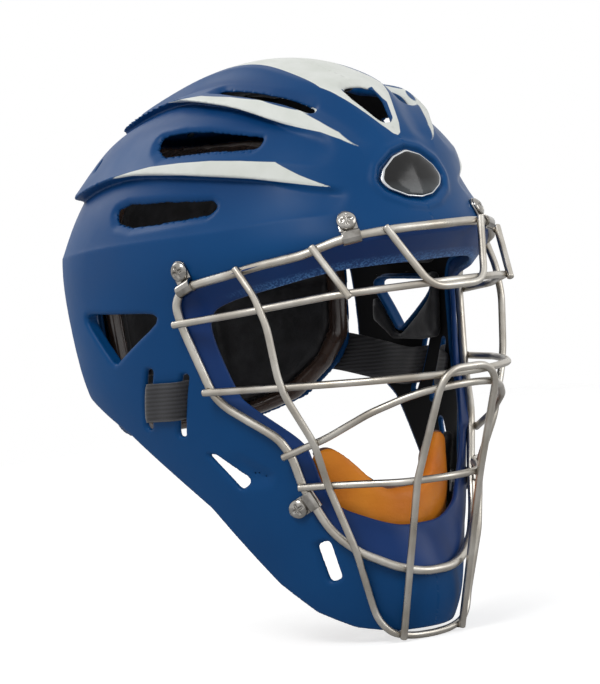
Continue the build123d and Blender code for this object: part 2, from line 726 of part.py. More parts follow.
def top_tab():
    """Flexible tab from the crown to the back plate."""
    inner = even_form(wall)
    plate = plate_form(0.0)
    tops = [(y, touch(inner, (tab_half, y, 0.0), (0.0, 0.0, 1.0))[0].Z - fit_gap) for y in tab_on_shell]
    lows = [(y, touch(plate, (0.0, y, 0.0), (0.0, 0.0, 1.0))[0].Z + fit_gap) for y in tab_on_plate]
    upper = tops + [(y, z + tab_sheet) for y, z in lows]
    lower = [(y, z - tab_sheet) for y, z in tops] + lows
    return extrude(Plane.YZ * outline(upper + lower[::-1]), amount=tab_half, both=True)


def strap():
    """Elastic strap on the near side, woven through both slots to the back plate."""
    surfaces = {"inside": (even_form(wall), -1), "outside": (shell_form, 1), "plate": (plate_form(-strap_rise), 1)}
    lows, highs = [], []
    for surface, y, z in strap_run:
        solid, side = surfaces[surface]
        for row, up in ((lows, -strap_half_width), (highs, strap_half_width)):
            place, normal = touch(solid, (0.0, y + strap_slant_share * up, z + up), (-1.0, 0.0, 0.0))
            row.append(place + normal * side * strap_gap)
    slices = []
    for index in range(len(lows)):
        before = lows[max(index - 1, 0)]
        after = lows[min(index + 1, len(lows) - 1)]
        run = Vector(after.X - before.X, after.Y - before.Y, 0).normalized()
        out = Vector(-run.Y, run.X, 0) * (strap_sheet / 2)
        low, high = lows[index], highs[index]
        slices.append([tuple(low - out), tuple(low + out), tuple(high + out), tuple(high - out)])
    return faceted(slices)


shell_form = form()
frame_path = frame_wire_path()


def half_path(keep_upper):
    """Part of the frame wire on the +X side, above or below the eye."""
    lift = frame_radius + wire_stand_off
    rows = frame_corners[:7] if keep_upper else frame_corners[11:]
    half = [tuple(seat(shell_form, corner, lift)) for corner in rows]
    return bent_path(half, frame_bend)


frame_upper = half_path(True)
frame_lower = half_path(False)
bar_paths = [bar_path(eye_end, eye_corners), bar_path(nose_end, nose_corners),
             bar_path(slant_end, slant_corners), bar_path(lower_end, lower_corners)]
long_path = long_u_path()


def save(name, *solids):
    """Write one named piece."""
    shape = solids[0] if len(solids) == 1 else Compound(list(solids))
    export_step(shape, f"parts/{name}.step")


def save_pair(name, near):
    """Write the near piece as the right one of the wearer and its mirror image as the left one."""
    save(f"{name}_right", near)
    save(f"{name}_left", mirrored(near))


def single(shape):
    """The one solid of a result."""
    return max(shape.solids(), key=lambda solid: solid.volume)


shell = front_shell()
crown_rivet, crown_frame = shell_rivet()
shell -= crown_frame * peg(rivet_hole, 6 * wall)
save("front_shell", single(shell))
save("perimeter_wire", rod(frame_path, frame_radius))
for name, path in zip(("eye_bar", "nose_bar", "slant_bar", "lower_bar"), bar_paths):
    save(name, rod(path, bar_radius))
save("long_u_wire", rod(long_path, bar_radius))
save("inverted_u_wire", rod(inverted_u_path(), bar_radius))
save("brow_loop", rod(loop_path(), bar_radius))
strut = rod(strut_path(), bar_radius)
save("brow_strut_left", strut)
save("brow_strut_right", mirrored(strut))
frames = screw_frames()
save("cage_clips", *[single(clip(frame)) for frame in frames])
save("clip_screws", *[single(screw(frame)) for frame in frames])
save("clip_nuts", *[single(nut(frame)) for frame in frames])
save("badge", single(badge()))
save("forehead_pad", single(lining_piece(groove_pad_gap, forehead_thick, front_prism, forehead_outline, pad_cut)))
save("crown_pad", single(lining_piece(crown_gap, pad_thick, top_prism, crown_outline, pad_cut)))
save_pair("side_pad", single(lining_piece(pad_gap, pad_thick, side_prism, side_outline, pad_cut) & near_half()))
save_pair("ear_foam", single(ear_foam()))
save_pair("jaw_pad", single(lining_piece(jaw_gap, pad_thick, side_prism, jaw_outline, pad_cut) & near_half()))
save("chin_pad", single(chin_pad()))
save("back_plate", single(back_plate()))
save("back_pad", single(back_liner()))
save("back_pad_rim", single(liner_rim()))
tab_cut = crown_frame * peg(rivet_hole, 6 * wall)
plate_frames = plate_rivet_frames()
tab = top_tab() - tab_cut - plate_frames[0] * peg(rivet_hole, 6 * wall)
save("top_tab", single(tab))
save("crown_rivet", single(crown_rivet))
stacks = [fit_gap + tab_sheet + fit_gap] + 2 * [strap_rise + strap_gap + strap_sheet]
save("plate_rivets", *[rivet(frame, stack) for frame, stack in zip(plate_frames, stacks)])
near_strap = strap() - plate_frames[1] * peg(rivet_hole, 6 * wall)
save_pair("side_strap", single(near_strap))
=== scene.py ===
import math

import bmesh
import bpy
import numpy as np
from mathutils import Matrix, Vector


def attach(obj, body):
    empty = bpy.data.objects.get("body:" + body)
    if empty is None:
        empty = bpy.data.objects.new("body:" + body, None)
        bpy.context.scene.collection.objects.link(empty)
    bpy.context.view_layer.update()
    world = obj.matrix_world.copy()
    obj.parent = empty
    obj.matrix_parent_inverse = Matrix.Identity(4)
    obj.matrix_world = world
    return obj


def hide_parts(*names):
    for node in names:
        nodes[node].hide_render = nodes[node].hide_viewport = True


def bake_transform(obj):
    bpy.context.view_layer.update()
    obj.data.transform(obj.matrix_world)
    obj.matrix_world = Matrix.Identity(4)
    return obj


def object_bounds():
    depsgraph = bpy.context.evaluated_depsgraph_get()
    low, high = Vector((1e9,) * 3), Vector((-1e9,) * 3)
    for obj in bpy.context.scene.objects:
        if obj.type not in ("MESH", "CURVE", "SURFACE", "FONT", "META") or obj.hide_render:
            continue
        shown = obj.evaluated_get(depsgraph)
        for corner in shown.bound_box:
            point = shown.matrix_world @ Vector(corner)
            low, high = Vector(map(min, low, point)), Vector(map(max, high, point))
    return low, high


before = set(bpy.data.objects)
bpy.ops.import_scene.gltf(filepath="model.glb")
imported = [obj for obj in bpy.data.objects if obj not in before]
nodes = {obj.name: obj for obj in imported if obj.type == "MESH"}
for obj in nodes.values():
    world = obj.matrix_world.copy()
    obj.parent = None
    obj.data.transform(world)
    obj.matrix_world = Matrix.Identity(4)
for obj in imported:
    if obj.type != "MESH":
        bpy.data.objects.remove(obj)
cad_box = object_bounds()

# Front shell. A closed wall is drawn from one distance field in millimetres: the egg of the form, the
# terraced grooves sunk into it, soft rims round the openings, and the openings themselves.
# The mesh is the field's zero surface on a fine grid, one half, then mirrored.
MM = 0.001
TINY = 0.05
FORM_LEVELS = np.array([
    (-160, 38, -95, 58, -22), (-156, 41, -98, 60, -20), (-138, 52, -107, 70, -12),
    (-120, 61, -108, 80, -5), (-95, 71, -107, 93, 1), (-60, 84, -104, 108, 14),
    (-20, 97, -104, 120, 24), (20, 102, -112, 125, 28), (50, 102, -137, 126, 28),
    (66, 100, -130, 124, 24), (85, 95, -122, 118, 16), (105, 86, -112, 106, 6),
    (122, 74, -96, 88, -4), (136, 53, -74, 55, -12), (146, 30, -48, 22, -14),
    (149.7, 15, -32, 4, -14),
])
CROWN_LEVEL = 151.0
BROW_LEVEL = 50.0
CAP_POWER = 1.5
WALL = 3.5
FORM_GRID = 1.0
COARSE_STEP = 4
NEAR_CELLS = 2.2
SETTLE_SHARES = (0.5, 0.45, 0.4)
LAST_SHARE = 0.4


def spline(xs, ys):
    """A smooth curve through points, straight beyond its ends."""
    xs, ys = np.asarray(xs, float), np.asarray(ys, float)
    order = np.argsort(xs)
    xs, ys = xs[order], ys[order]
    steps, slopes = np.diff(xs), np.diff(ys) / np.diff(xs)
    count = len(xs)
    system, right = np.eye(count), np.zeros(count)
    for k in range(1, count - 1):
        system[k, k - 1:k + 2] = steps[k - 1], 2 * (steps[k - 1] + steps[k]), steps[k]
        right[k] = 6 * (slopes[k] - slopes[k - 1])
    bends = np.linalg.solve(system, right)
    starts = slopes - steps * (2 * bends[:-1] + bends[1:]) / 6

    def value(at):
        at = np.asarray(at, float)
        k = np.clip(np.searchsorted(xs, at) - 1, 0, count - 2)
        inside = np.clip(at, xs[0], xs[-1]) - xs[k]
        third = (bends[k + 1] - bends[k]) / (6 * steps[k])
        curve = ys[k] + inside * (starts[k] + inside * (bends[k] / 2 + inside * third))
        last_slope = starts[-1] + steps[-1] * (bends[-2] + bends[-1]) / 2
        return curve + np.maximum(at - xs[-1], 0) * last_slope + np.minimum(at - xs[0], 0) * starts[0]
    return value


def egg(side=0.0, front=0.0, rear=0.0, top=0.0):
    """Millimetres outward from the form, drawn in by these depths."""
    level, half, fore, aft, middle = FORM_LEVELS.T
    down = np.clip((level - BROW_LEVEL) / (CROWN_LEVEL - BROW_LEVEL), 0, 1) ** CAP_POWER
    across = np.sqrt(1 - down ** 2)
    level, half = level - top * down, half - side * across
    front_share = (half / (middle - fore - front * across)) ** 2
    rear_share = (half / (aft - middle - rear * across)) ** 2
    heights = np.append(level, CROWN_LEVEL - top)
    area_of = spline(heights, np.append(half ** 2, 0.0))
    front_of = spline(heights, np.append(front_share, front_share[-1]))
    rear_of = spline(heights, np.append(rear_share, rear_share[-1]))
    middle_of = spline(heights, np.append(middle, middle[-1]))

    def value(x, y, z):
        along = y - middle_of(z)
        return x ** 2 + along ** 2 * np.where(along < 0, front_of(z), rear_of(z)) - area_of(z)

    def distance(x, y, z):
        here = value(x, y, z)
        slope_y = (value(x, y + TINY, z) - here) / TINY
        slope_z = (value(x, y, z + TINY) - here) / TINY
        return here / np.maximum(np.sqrt(4 * x ** 2 + slope_y ** 2 + slope_z ** 2), 1.0)
    return distance


form_distance = egg()


def line_gap(u0, v0, u1, v1, u, v):
    """Squared distance to a straight line between two points."""
    du, dv = u1 - u0, v1 - v0
    share = np.clip(((u - u0) * du + (v - v0) * dv) / (du * du + dv * dv), 0, 1)
    return (u - u0 - share * du) ** 2 + (v - v0 - share * dv) ** 2


def outline_distance(points, u, v):
    """Signed distance to a closed outline in its plane, negative inside."""
    best = np.full(u.shape, 1e9)
    inside = np.zeros(u.shape, bool)
    for (u0, v0), (u1, v1) in zip(points, points[1:] + points[:1]):
        best = np.minimum(best, line_gap(u0, v0, u1, v1, u, v))
        if v0 != v1:
            inside ^= ((v0 > v) != (v1 > v)) & (u < u0 + (u1 - u0) * (v - v0) / (v1 - v0))
    return np.sqrt(best) * np.where(inside, -1, 1)


def soft_max(a, b, blend):
    """The larger of two fields, with a rounded corner."""
    mix = np.clip(0.5 + 0.5 * (a - b) / blend, 0, 1)
    return b + (a - b) * mix + blend * mix * (1 - mix)


def soft_min(a, b, blend):
    """The smaller of two fields, with a filled corner."""
    return -soft_max(-a, -b, blend)


def step(value, start, end):
    """Smooth climb from 0 to 1."""
    share = np.clip((value - start) / (end - start), 0, 1)
    return share * share * (3 - 2 * share)


def rounded(points, radius, parts=4):
    """The same outline with its corners rounded."""
    points = [np.array(point, float) for point in points]
    line = []
    for before, corner, after in zip(points[-1:] + points[:-1], points, points[1:] + points[:1]):
        come, leave = before - corner, after - corner
        long_in, long_out = np.linalg.norm(come), np.linalg.norm(leave)
        angle = math.acos(np.clip(come @ leave / (long_in * long_out), -1, 1))
        cut = min(radius / math.tan(angle / 2), 0.46 * long_in, 0.46 * long_out)
        start, end = corner + come / long_in * cut, corner + leave / long_out * cut
        for share in np.linspace(0, 1, parts + 1):
            line.append(start * (1 - share) ** 2 + corner * 2 * share * (1 - share) + end * share ** 2)
    return [tuple(point) for point in line]


SHEET_STEP = 0.5
SHEET_LOW = (-170.0, -170.0)
SHEET_COUNT = (520, 690)


def template(points, radius):
    """Distance to a rounded outline, drawn once on a sheet and read off from it."""
    u = SHEET_LOW[0] + SHEET_STEP * np.arange(SHEET_COUNT[0])
    v = SHEET_LOW[1] + SHEET_STEP * np.arange(SHEET_COUNT[1])
    sheet = outline_distance(rounded(points, radius), *np.meshgrid(u, v, indexing="ij"))

    def distance(u, v):
        a = np.clip((u - SHEET_LOW[0]) / SHEET_STEP, 0, SHEET_COUNT[0] - 1.001)
        b = np.clip((v - SHEET_LOW[1]) / SHEET_STEP, 0, SHEET_COUNT[1] - 1.001)
        i, j = a.astype(int), b.astype(int)
        a, b = a - i, b - j
        low = sheet[i, j] * (1 - a) + sheet[i + 1, j] * a
        high = sheet[i, j + 1] * (1 - a) + sheet[i + 1, j + 1] * a
        return low * (1 - b) + high * b
    return distance


CREST_B = [(62, 121), (30, 129.5), (7, 133), (-32, 129.6), (-61, 122.6), (-82, 114), (-98, 107),
           (-108, 100)]
FAR_B = [(62, 90), (30, 94), (15, 96), (-3, 98.3), (-20, 99.6), (-40, 99.6), (-56, 98.8),
         (-72, 97), (-88, 94), (-108, 89)]
CREST_C = [(62, 87), (30, 93.5), (15, 95.5), (-3, 96.3), (-20, 95.4), (-40, 93.2), (-58, 90.8),
           (-78, 87.3), (-95, 83), (-118, 76)]
FAR_C = [(62, 57), (30, 59.5), (0, 61), (-43, 62.1), (-66, 63), (-85, 64.3), (-101, 65),
         (-118, 65)]
CREST_A = [(62, -40), (20, -34), (-22, -28), (-66, -25), (-91, -19), (-107, -13), (-118, -10)]
FAR_A = [(62, -57), (20, -57), (-26, -56), (-48, -53.4), (-66, -47.8), (-76, -43.6), (-86, -38.6),
         (-95, -33.7), (-105, -28.5), (-118, -21)]
GROOVE_B = dict(crest=spline(*zip(*CREST_B)), far=spline(*zip(*FAR_B)),
                depths=(3.4, 3.4), deepens=(-96, -60), ends=(-109, -98))
GROOVE_C = dict(crest=spline(*zip(*CREST_C)), far=spline(*zip(*FAR_C)),
                depths=(3.6, 3.2), deepens=(-100, -60), ends=(-117, -107))
GROOVE_A = dict(crest=spline(*zip(*CREST_A)), far=spline(*zip(*FAR_A)),
                depths=(3.4, 2.6), deepens=(-104, -70), ends=(-118, -108))
SOFT_A = 9.0
GROOVE_A_FROM = (84, 92)
GROOVE_CLIMB = 0.8
NARROWEST_GROOVE = 6.0


def groove(at, y, lift, soft, crest, far, depths, deepens, ends):
    """How far one groove sinks: a steep drop under its crest, then a floor that climbs back to the form."""
    past, width = crest(y) - at + lift, np.maximum(crest(y) - far(y), NARROWEST_GROOVE) + lift
    deep = depths[0] + depths[1] * step(y, *deepens)
    drop = step(past, -soft / 3, soft)
    climb = np.clip(1 - past / width, 0, 1) ** GROOVE_CLIMB
    return deep * step(y, ends[0] - lift, ends[1] - lift) * drop * climb


def grooves(x, y, z, lift=0.0):
    """How far the outer surface lies below the egg; the drops are softer toward the front."""
    soft_b = 2.2 + 4.0 * (1 - step(y, -98, -70)) + 2.0 * step(y, -20, 20)
    soft_c = 2.0 + 3.0 * (1 - step(y, -105, -80))
    a = groove(-np.abs(x), y, lift, SOFT_A, **GROOVE_A) * step(z, *GROOVE_A_FROM)
    b, c = groove(z, y, lift, soft_b, **GROOVE_B), groove(z, y, lift, soft_c, **GROOVE_C)
    return np.maximum(np.maximum(a, b), c)


def mirrored(half):
    """A half outline from the middle, run on over the other side."""
    return half + [(-first, *rest) for first, *rest in half[1:-1][::-1]]


REAR_EDGE = [
    (-175, 175), (55, 175), (55, 118), (59, 90), (60, 58), (56, 30), (52, -5),
    (49, -18), (19, -38), (-22, -79), (-48, -121), (-63, -137), (-79, -146),
    (-94, -149.5), (-175, -149.5),
]
FACE_EDGE = [
    (-175, 52.5), (-136, 52), (-120, 50.5), (-88, 43.5), (-51, 36.5), (-38, 33.5),
    (-35.5, 27), (-36, 17), (-42, -15), (-47, -23), (-69, -42.5), (-74, -50),
    (-74.5, -67), (-77, -84), (-81, -95), (-91, -106), (-103, -116), (-109, -120),
    (-175, -120),
]
VENT_B = [(-14, 113), (-16.5, 108), (-23, 104), (-53, 104), (-74, 102.8), (-73.5, 106.5), (-62, 109),
          (-45, 112.5), (-30, 114)]
VENT_C = [(9, 78.5), (6, 73), (-6, 70), (-25, 70.5), (-55, 72.2), (-58, 75), (-55, 77.4),
          (-27, 79.5), (0, 80.5)]
VENT_A = [(-47.5, -26), (-40.5, -24), (-35.5, -58), (-27.5, -84), (-33, -86), (-43.5, -66), (-47, -48)]
CROWN_VENT = [(-9.5, -86), (-5, -83), (5, -83), (9.5, -86), (8.8, -93), (3, -106), (-3, -106),
              (-8.8, -93)]
EAR_HOLE = [(37, 27), (-28, 24), (15, -1)]
REAR_SLOT = [(-12.6, -4), (-8, -4), (3.8, -35), (-0.8, -35)]
FRONT_SLOT = [(-33.8, -8), (-29.2, -8), (-17.1, -40), (-21.7, -40)]
JAW_SLOT = [(-31, -50), (-36, -51), (-50, -66), (-44, -70)]
JAW_SCOOP = [(-30, -48), (-50, -50), (-66, -62), (-62, -70), (-44, -72)]
CHIN_SLOT = [(-74, -101), (-80, -99), (-81, -119), (-75, -121)]
BADGE_RECESS = mirrored([(0, 95.5), (9, 93), (18, 86.5), (21.5, 79.5), (18.5, 74), (9, 69), (0, 67.2)])
SMALL_HOLE = (46.0, 104.0)
SMALL_HOLE_RADIUS = 2.6
EAR_COLLAR = 2.4
EAR_COLLAR_DEPTH = 8.0
COLLAR_TOP = 1.0
RIM_POWER = 1.5
SCOOP_DEPTH, SCOOP_SLOPE, SCOOP_FADE = 2.6, (-9, 1), (30, 60)
BADGE_SINK, SINK_SLOPE = 1.6, (-0.8, 1.0)
BADGE_SWELL, SWELL_AT, SWELL_WIDE = 1.3, 2.6, 2.0
WALL_ROUND, REAR_ROUND, FACE_ROUND, COLLAR_ROUND, HOLE_ROUND = 0.8, 1.4, 1.2, 1.0, 1.8
FAR_OFF = 99.0
SHELL_BOX = ((-106.5, -150.0, -158.0), (0.5, 66.0, 156.0))
MIDDLE_NEAR = 0.3
rear_edge, face_edge = template(REAR_EDGE, 7.0), template(FACE_EDGE, 9.0)
vent_b, vent_c = template(VENT_B, 3.0), template(VENT_C, 3.0)
vent_a, crown_vent = template(VENT_A, 2.0), template(CROWN_VENT, 3.0)
ear_hole, jaw_slot, jaw_scoop = template(EAR_HOLE, 4.5), template(JAW_SLOT, 2.6), template(JAW_SCOOP, 5.0)
rear_slot, front_slot = template(REAR_SLOT, 2.2), template(FRONT_SLOT, 2.2)
chin_slot, badge_recess = template(CHIN_SLOT, 2.6), template(BADGE_RECESS, 4.0)


def openings(x, y, z):
    """Distance to each opening, with the width and depth of the dished rim round it."""
    top = np.where(z > 60, 0.0, FAR_OFF)
    small_hole = np.hypot(y - SMALL_HOLE[0], z - SMALL_HOLE[1]) - SMALL_HOLE_RADIUS
    return [
        (ear_hole(y, z), 3.0, 0.6), (vent_b(y, z), 5.5, 2.4), (vent_c(y, z), 5.5, 2.2),
        (rear_slot(y, z), 1.6, 0.5), (front_slot(y, z), 1.6, 0.5), (jaw_slot(y, z), 2.0, 0.5),
        (chin_slot(y, z), 3.0, 1.0), (small_hole, 2.5, 0.6),
        (vent_a(-np.abs(x), y) + top, 5.0, 2.2), (crown_vent(x, y) + top, 4.0, 1.6),
    ]


def shell_field(x, y, z):
    """The wall of the front shell, negative inside the plastic."""
    form = form_distance(x, y, z)
    holes = openings(x, y, z)
    sink = grooves(x, y, z)
    for distance, width, depth in holes:
        sink = sink + depth * (1 - step(distance, 0, width)) ** RIM_POWER
    sink = sink + SCOOP_DEPTH * (1 - step(jaw_scoop(y, z), *SCOOP_SLOPE)) * step(-y, *SCOOP_FADE)
    ring = badge_recess(x, z) + np.where(y > -60, FAR_OFF, 0.0)
    seat = BADGE_SINK * (1 - step(ring, *SINK_SLOPE))
    swell = BADGE_SWELL * np.exp(-((ring - SWELL_AT) / SWELL_WIDE) ** 2)
    outer = form + sink - swell + seat
    inner = form + grooves(x, y, z, WALL) + WALL + seat
    wall = soft_max(outer, -inner, WALL_ROUND)
    wall = soft_max(wall, rear_edge(y, z), REAR_ROUND)
    wall = soft_max(wall, -face_edge(y, z), FACE_ROUND)
    beside = np.abs(holes[0][0] - EAR_COLLAR / 2) - EAR_COLLAR / 2
    collar = np.maximum(np.maximum(beside, form + COLLAR_TOP), -form - EAR_COLLAR_DEPTH)
    wall = soft_min(wall, collar, COLLAR_ROUND)
    for distance, _, _ in holes:
        wall = soft_max(wall, -distance, HOLE_ROUND)
    return wall


def near_surface(field, low, high, grid):
    """Marks the fine grid's points that lie near the field's surface."""
    coarse = grid * COARSE_STEP
    counts = [int((b - a) / coarse) + 2 for a, b in zip(low, high)]
    axes = [a + coarse * np.arange(n) for a, n in zip(low, counts)]
    spots = np.meshgrid(*axes, indexing="ij")
    close = np.abs(field(*[part.ravel() for part in spots])).reshape(counts) < NEAR_CELLS * coarse
    fine = np.repeat(np.repeat(np.repeat(close, COARSE_STEP, 0), COARSE_STEP, 1), COARSE_STEP, 2)
    half = COARSE_STEP // 2
    return np.roll(fine, (-half, -half, -half), (0, 1, 2))


def zero_surface(field, low, high, grid=FORM_GRID):
    """Quads of the field's zero surface, one point in each crossed cell of the grid."""
    active = near_surface(field, low, high, grid)
    spots = np.argwhere(active)
    places = np.asarray(low) + spots * grid
    values = np.full(active.shape, 9.0)
    values[active] = field(*places.T)
    shape = np.array(values.shape) - 1
    total, hits = np.zeros((*shape, 3)), np.zeros(shape)
    quads = []
    for axis in range(3):
        first = np.take(values, range(values.shape[axis] - 1), axis)
        second = np.take(values, range(1, values.shape[axis]), axis)
        crossed = np.argwhere((first < 0) != (second < 0))
        near, far = first[tuple(crossed.T)], second[tuple(crossed.T)]
        cross = crossed.astype(float)
        cross[:, axis] += near / (near - far)
        others = [other for other in range(3) if other != axis]
        cells = []
        for shift_u, shift_v in ((0, 0), (1, 0), (1, 1), (0, 1)):
            cell = crossed.copy()
            cell[:, others[0]] -= shift_u
            cell[:, others[1]] -= shift_v
            cells.append(cell)
        kept = [np.all((cell >= 0) & (cell < shape), axis=1) for cell in cells]
        valid = np.all(kept, axis=0)
        for cell, keep in zip(cells, kept):
            np.add.at(total, tuple(cell[keep].T), cross[keep])
            np.add.at(hits, tuple(cell[keep].T), 1)
        turn = (near < 0) ^ (axis == 1)
        ids = np.stack([np.ravel_multi_index(tuple(cell[valid].T), shape) for cell in cells], axis=1)
        ids[turn[valid]] = ids[turn[valid]][:, ::-1]
        quads.append(ids)
    used = np.argwhere(hits > 0)
    points = np.asarray(low) + total[tuple(used.T)] / hits[tuple(used.T)][:, None] * grid
    lookup = np.zeros(hits.size, int)
    lookup[np.ravel_multi_index(tuple(used.T), shape)] = np.arange(len(used))
    return points, lookup[np.concatenate(quads)]


def slope_of(field, points):
    """A field's values at points, and its slope there."""
    x, y, z = points.T
    value = field(x, y, z)
    ahead = [field(x + TINY, y, z), field(x, y + TINY, z), field(x, y, z + TINY)]
    return value, (np.stack(ahead, axis=1) - value[:, None]) / TINY


def settle(points, field, rounds, most):
    """Moves points onto the zero surface."""
    for _ in range(rounds):
        value, slope = slope_of(field, points)
        size = np.maximum((slope ** 2).sum(1), 0.2)
        move = -slope * (value / size)[:, None]
        length = np.maximum(np.linalg.norm(move, axis=1), 1e-9)
        points = points + move * np.minimum(1, most / length)[:, None]
    return points


def relax(points, quads, share):
    """Draws each point toward the middle of its neighbours."""
    total, count = np.zeros_like(points), np.zeros(len(points))
    for near, far in ((0, 1), (1, 2), (2, 3), (3, 0)):
        for a, b in ((near, far), (far, near)):
            np.add.at(total, quads[:, a], points[quads[:, b]])
            np.add.at(count, quads[:, a], 1)
    return points + (total / np.maximum(count, 1)[:, None] - points) * share


def new_object(name, points, faces):
    """A mesh object from millimetre points."""
    mesh = bpy.data.meshes.new(name)
    mesh.from_pydata([tuple(point) for point in np.asarray(points) * MM], [], [tuple(face) for face in faces])
    mesh.validate()
    mesh.shade_smooth()
    obj = bpy.data.objects.new(name, mesh)
    bpy.context.scene.collection.objects.link(obj)
    return obj


def paint(red, green, blue):
    """A colour as it is seen, given in eight-bit steps."""
    parts = (part / 255 for part in (red, green, blue))
    return tuple(((part + 0.055) / 1.055) ** 2.4 if part > 0.04 else part / 12.92 for part in parts)


def finish(name, colour, roughness, **values):
    """A material whose plain values stand on the shader's own sockets."""
    made = bpy.data.materials.new(name)
    made.use_nodes = True
    shader = made.node_tree.nodes["Principled BSDF"]
    shader.inputs["Base Color"].default_value = (*paint(*colour), 1)
    shader.inputs["Roughness"].default_value = roughness
    for socket, value in values.items():
        shader.inputs[socket.replace("_", " ")].default_value = value
    return made


def node(made, kind, inputs=(), **settings):
    """A new node; its inputs are given as a socket and what feeds it, a value or another node's result."""
    new = made.node_tree.nodes.new(kind)
    for key, value in settings.items():
        setattr(new, key, value)
    for socket, value in inputs:
        if isinstance(value, bpy.types.NodeSocket):
            made.node_tree.links.new(value, new.inputs[socket])
        else:
            new.inputs[socket].default_value = value
    return new


def feed(made, source, socket):
    """Feeds one of the shader's sockets."""
    made.node_tree.links.new(source, made.node_tree.nodes["Principled BSDF"].inputs[socket])


def noise(made, scale, detail=3.0, stretch=(1, 1, 1)):
    """Noise over the piece's own coordinates."""
    place = node(made, "ShaderNodeTexCoord").outputs["Object"]
    spread = node(made, "ShaderNodeMapping", [("Vector", place), ("Scale", stretch)]).outputs["Vector"]
    ends = [("Vector", spread), ("Scale", scale), ("Detail", detail)]
    return node(made, "ShaderNodeTexNoise", ends).outputs["Fac"]


def between(made, source, low, high, start=0.0, end=1.0):
    """Maps a value from one range to another."""
    ends = [("Value", source), ("From Min", low), ("From Max", high), ("To Min", start), ("To Max", end)]
    return node(made, "ShaderNodeMapRange", ends).outputs["Result"]


def mixed(made, share, first, second):
    """One colour or the other by a share; each may be a colour or another node's result."""
    ends = [(*paint(*value), 1) if isinstance(value, tuple) else value for value in (first, second)]
    return node(made, "ShaderNodeMix", [(0, share), (6, ends[0]), (7, ends[1])], data_type="RGBA").outputs[2]


def patchy(made, scale, low, high, first, second, detail=3.0):
    """Two colours that drift into each other over the piece."""
    return mixed(made, between(made, noise(made, scale, detail), low, high), first, second)


def dyed(made, *drift):
    """Gives a piece two colours that drift into each other."""
    feed(made, patchy(made, *drift), "Base Color")


def worn(made, scale, start, end, low=0.3, high=0.7, detail=3.0):
    """A roughness that drifts over the piece."""
    feed(made, between(made, noise(made, scale, detail), low, high, start, end), "Roughness")


def joined(made, operation, first, second):
    """Two values made one."""
    return node(made, "ShaderNodeMath", [(0, first), (1, second)], operation=operation).outputs[0]


def marked(made, name):
    """The value kept at each point of the mesh under a name."""
    return node(made, "ShaderNodeAttribute", attribute_name=name).outputs["Fac"]


def relief(made, source, height, strength=1.0):
    """Raises the surface by a value; height in millimetres."""
    ends = [("Strength", strength), ("Distance", height * MM), ("Height", source)]
    bump = node(made, "ShaderNodeBump", ends)
    under = made.node_tree.nodes["Principled BSDF"].inputs["Normal"].links
    if under:
        made.node_tree.links.new(under[0].from_socket, bump.inputs["Normal"])
    feed(made, bump.outputs["Normal"], "Normal")


def grain(made, scale, height, strength, detail=3.0, stretch=(1, 1, 1)):
    """A grain over the surface; height in millimetres."""
    relief(made, noise(made, scale, detail, stretch), height, strength)


def fit(obj, material, slot, body, *replaced):
    """Gives a piece its material, and says which node it stands for and its body; its slot is not used."""
    obj.data.materials.append(material)
    if replaced:
        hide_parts(*replaced)
    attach(obj, body)


half_points, half_quads = zero_surface(shell_field, *SHELL_BOX)
half_points = settle(half_points, shell_field, 2, 0.5)
half_points[half_points[:, 0] > -MIDDLE_NEAR, 0] = 0.0
flipped = half_points * (-1, 1, 1)
on_middle = half_points[:, 0] == 0
other_ids = np.where(on_middle, np.arange(len(half_points)), len(half_points) + np.cumsum(~on_middle) - 1)
shell_points = np.concatenate([half_points, flipped[~on_middle]])
shell_quads = np.concatenate([half_quads, other_ids[half_quads][:, ::-1]])
for share in SETTLE_SHARES:
    shell_points = settle(relax(shell_points, shell_quads, share), shell_field, 1, 0.4)
shell_points = relax(shell_points, shell_quads, LAST_SHARE)
shell_obj = new_object("shell", shell_points, shell_quads.tolist())

# Stripes of the front shell. They are white vinyl cut to the ridges, laid on the lands between the
# grooves; their edges are a distance kept at each point of the shell, and the material draws them.
STRIPE_UPPER = [(7, 133), (-26, 133.6), (-48, 130.7), (-66, 127), (-76, 123), (-86, 119), (-95, 112.8),
                (-104, 106), (-112, 97.9), (-106, 102.6), (-98.5, 107), (-90, 110.4), (-82, 113.6),
                (-61, 122.4), (-32, 129.2), (-10, 131.8)]
STRIPE_LOWER = [(17, 95.9), (-3, 98.3), (-18, 99.6), (-38, 99.6), (-56, 98.8), (-71.6, 97), (-87.5, 94.4),
                (-98, 86.6), (-110, 78.6), (-95, 83), (-78, 87.3), (-40, 93.2), (-3.5, 96.2)]
TOP_BAND = [(-20.8, 70), (-20.5, -35), (-20.3, -81), (-16.2, -91), (-11, -100), (-6, -109), (-2.5, -113.5),
            (0, -114.5), (2.5, -113.5), (6, -109), (11, -100), (16.2, -91), (20.3, -81), (20.5, -35),
            (20.8, 70)]
TEARDROP = [(-9.6, -85.6), (-3.2, -84), (3.2, -84), (9.6, -85.6), (9, -96.6), (4.9, -104.9), (0, -107.2),
            (-4.9, -104.9), (-9, -96.6)]
TEARDROP_EDGE = 0.6
TOP_BAND_FROM, OFF_STRIPE = 90.0, -20.0
STRIPE_SKIN = 3.0
FLOCK_OVER, FLOCK_EDGE, FLOCK_COLLAR, FLOCK_CLEAR = 0.7, 1.5, 3.2, 1.6


def mark(obj, name, values):
    """Keeps one value at each point for the material."""
    obj.data.attributes.new(name, "FLOAT", "POINT").data.foreach_set("value", np.asarray(values, np.float32))


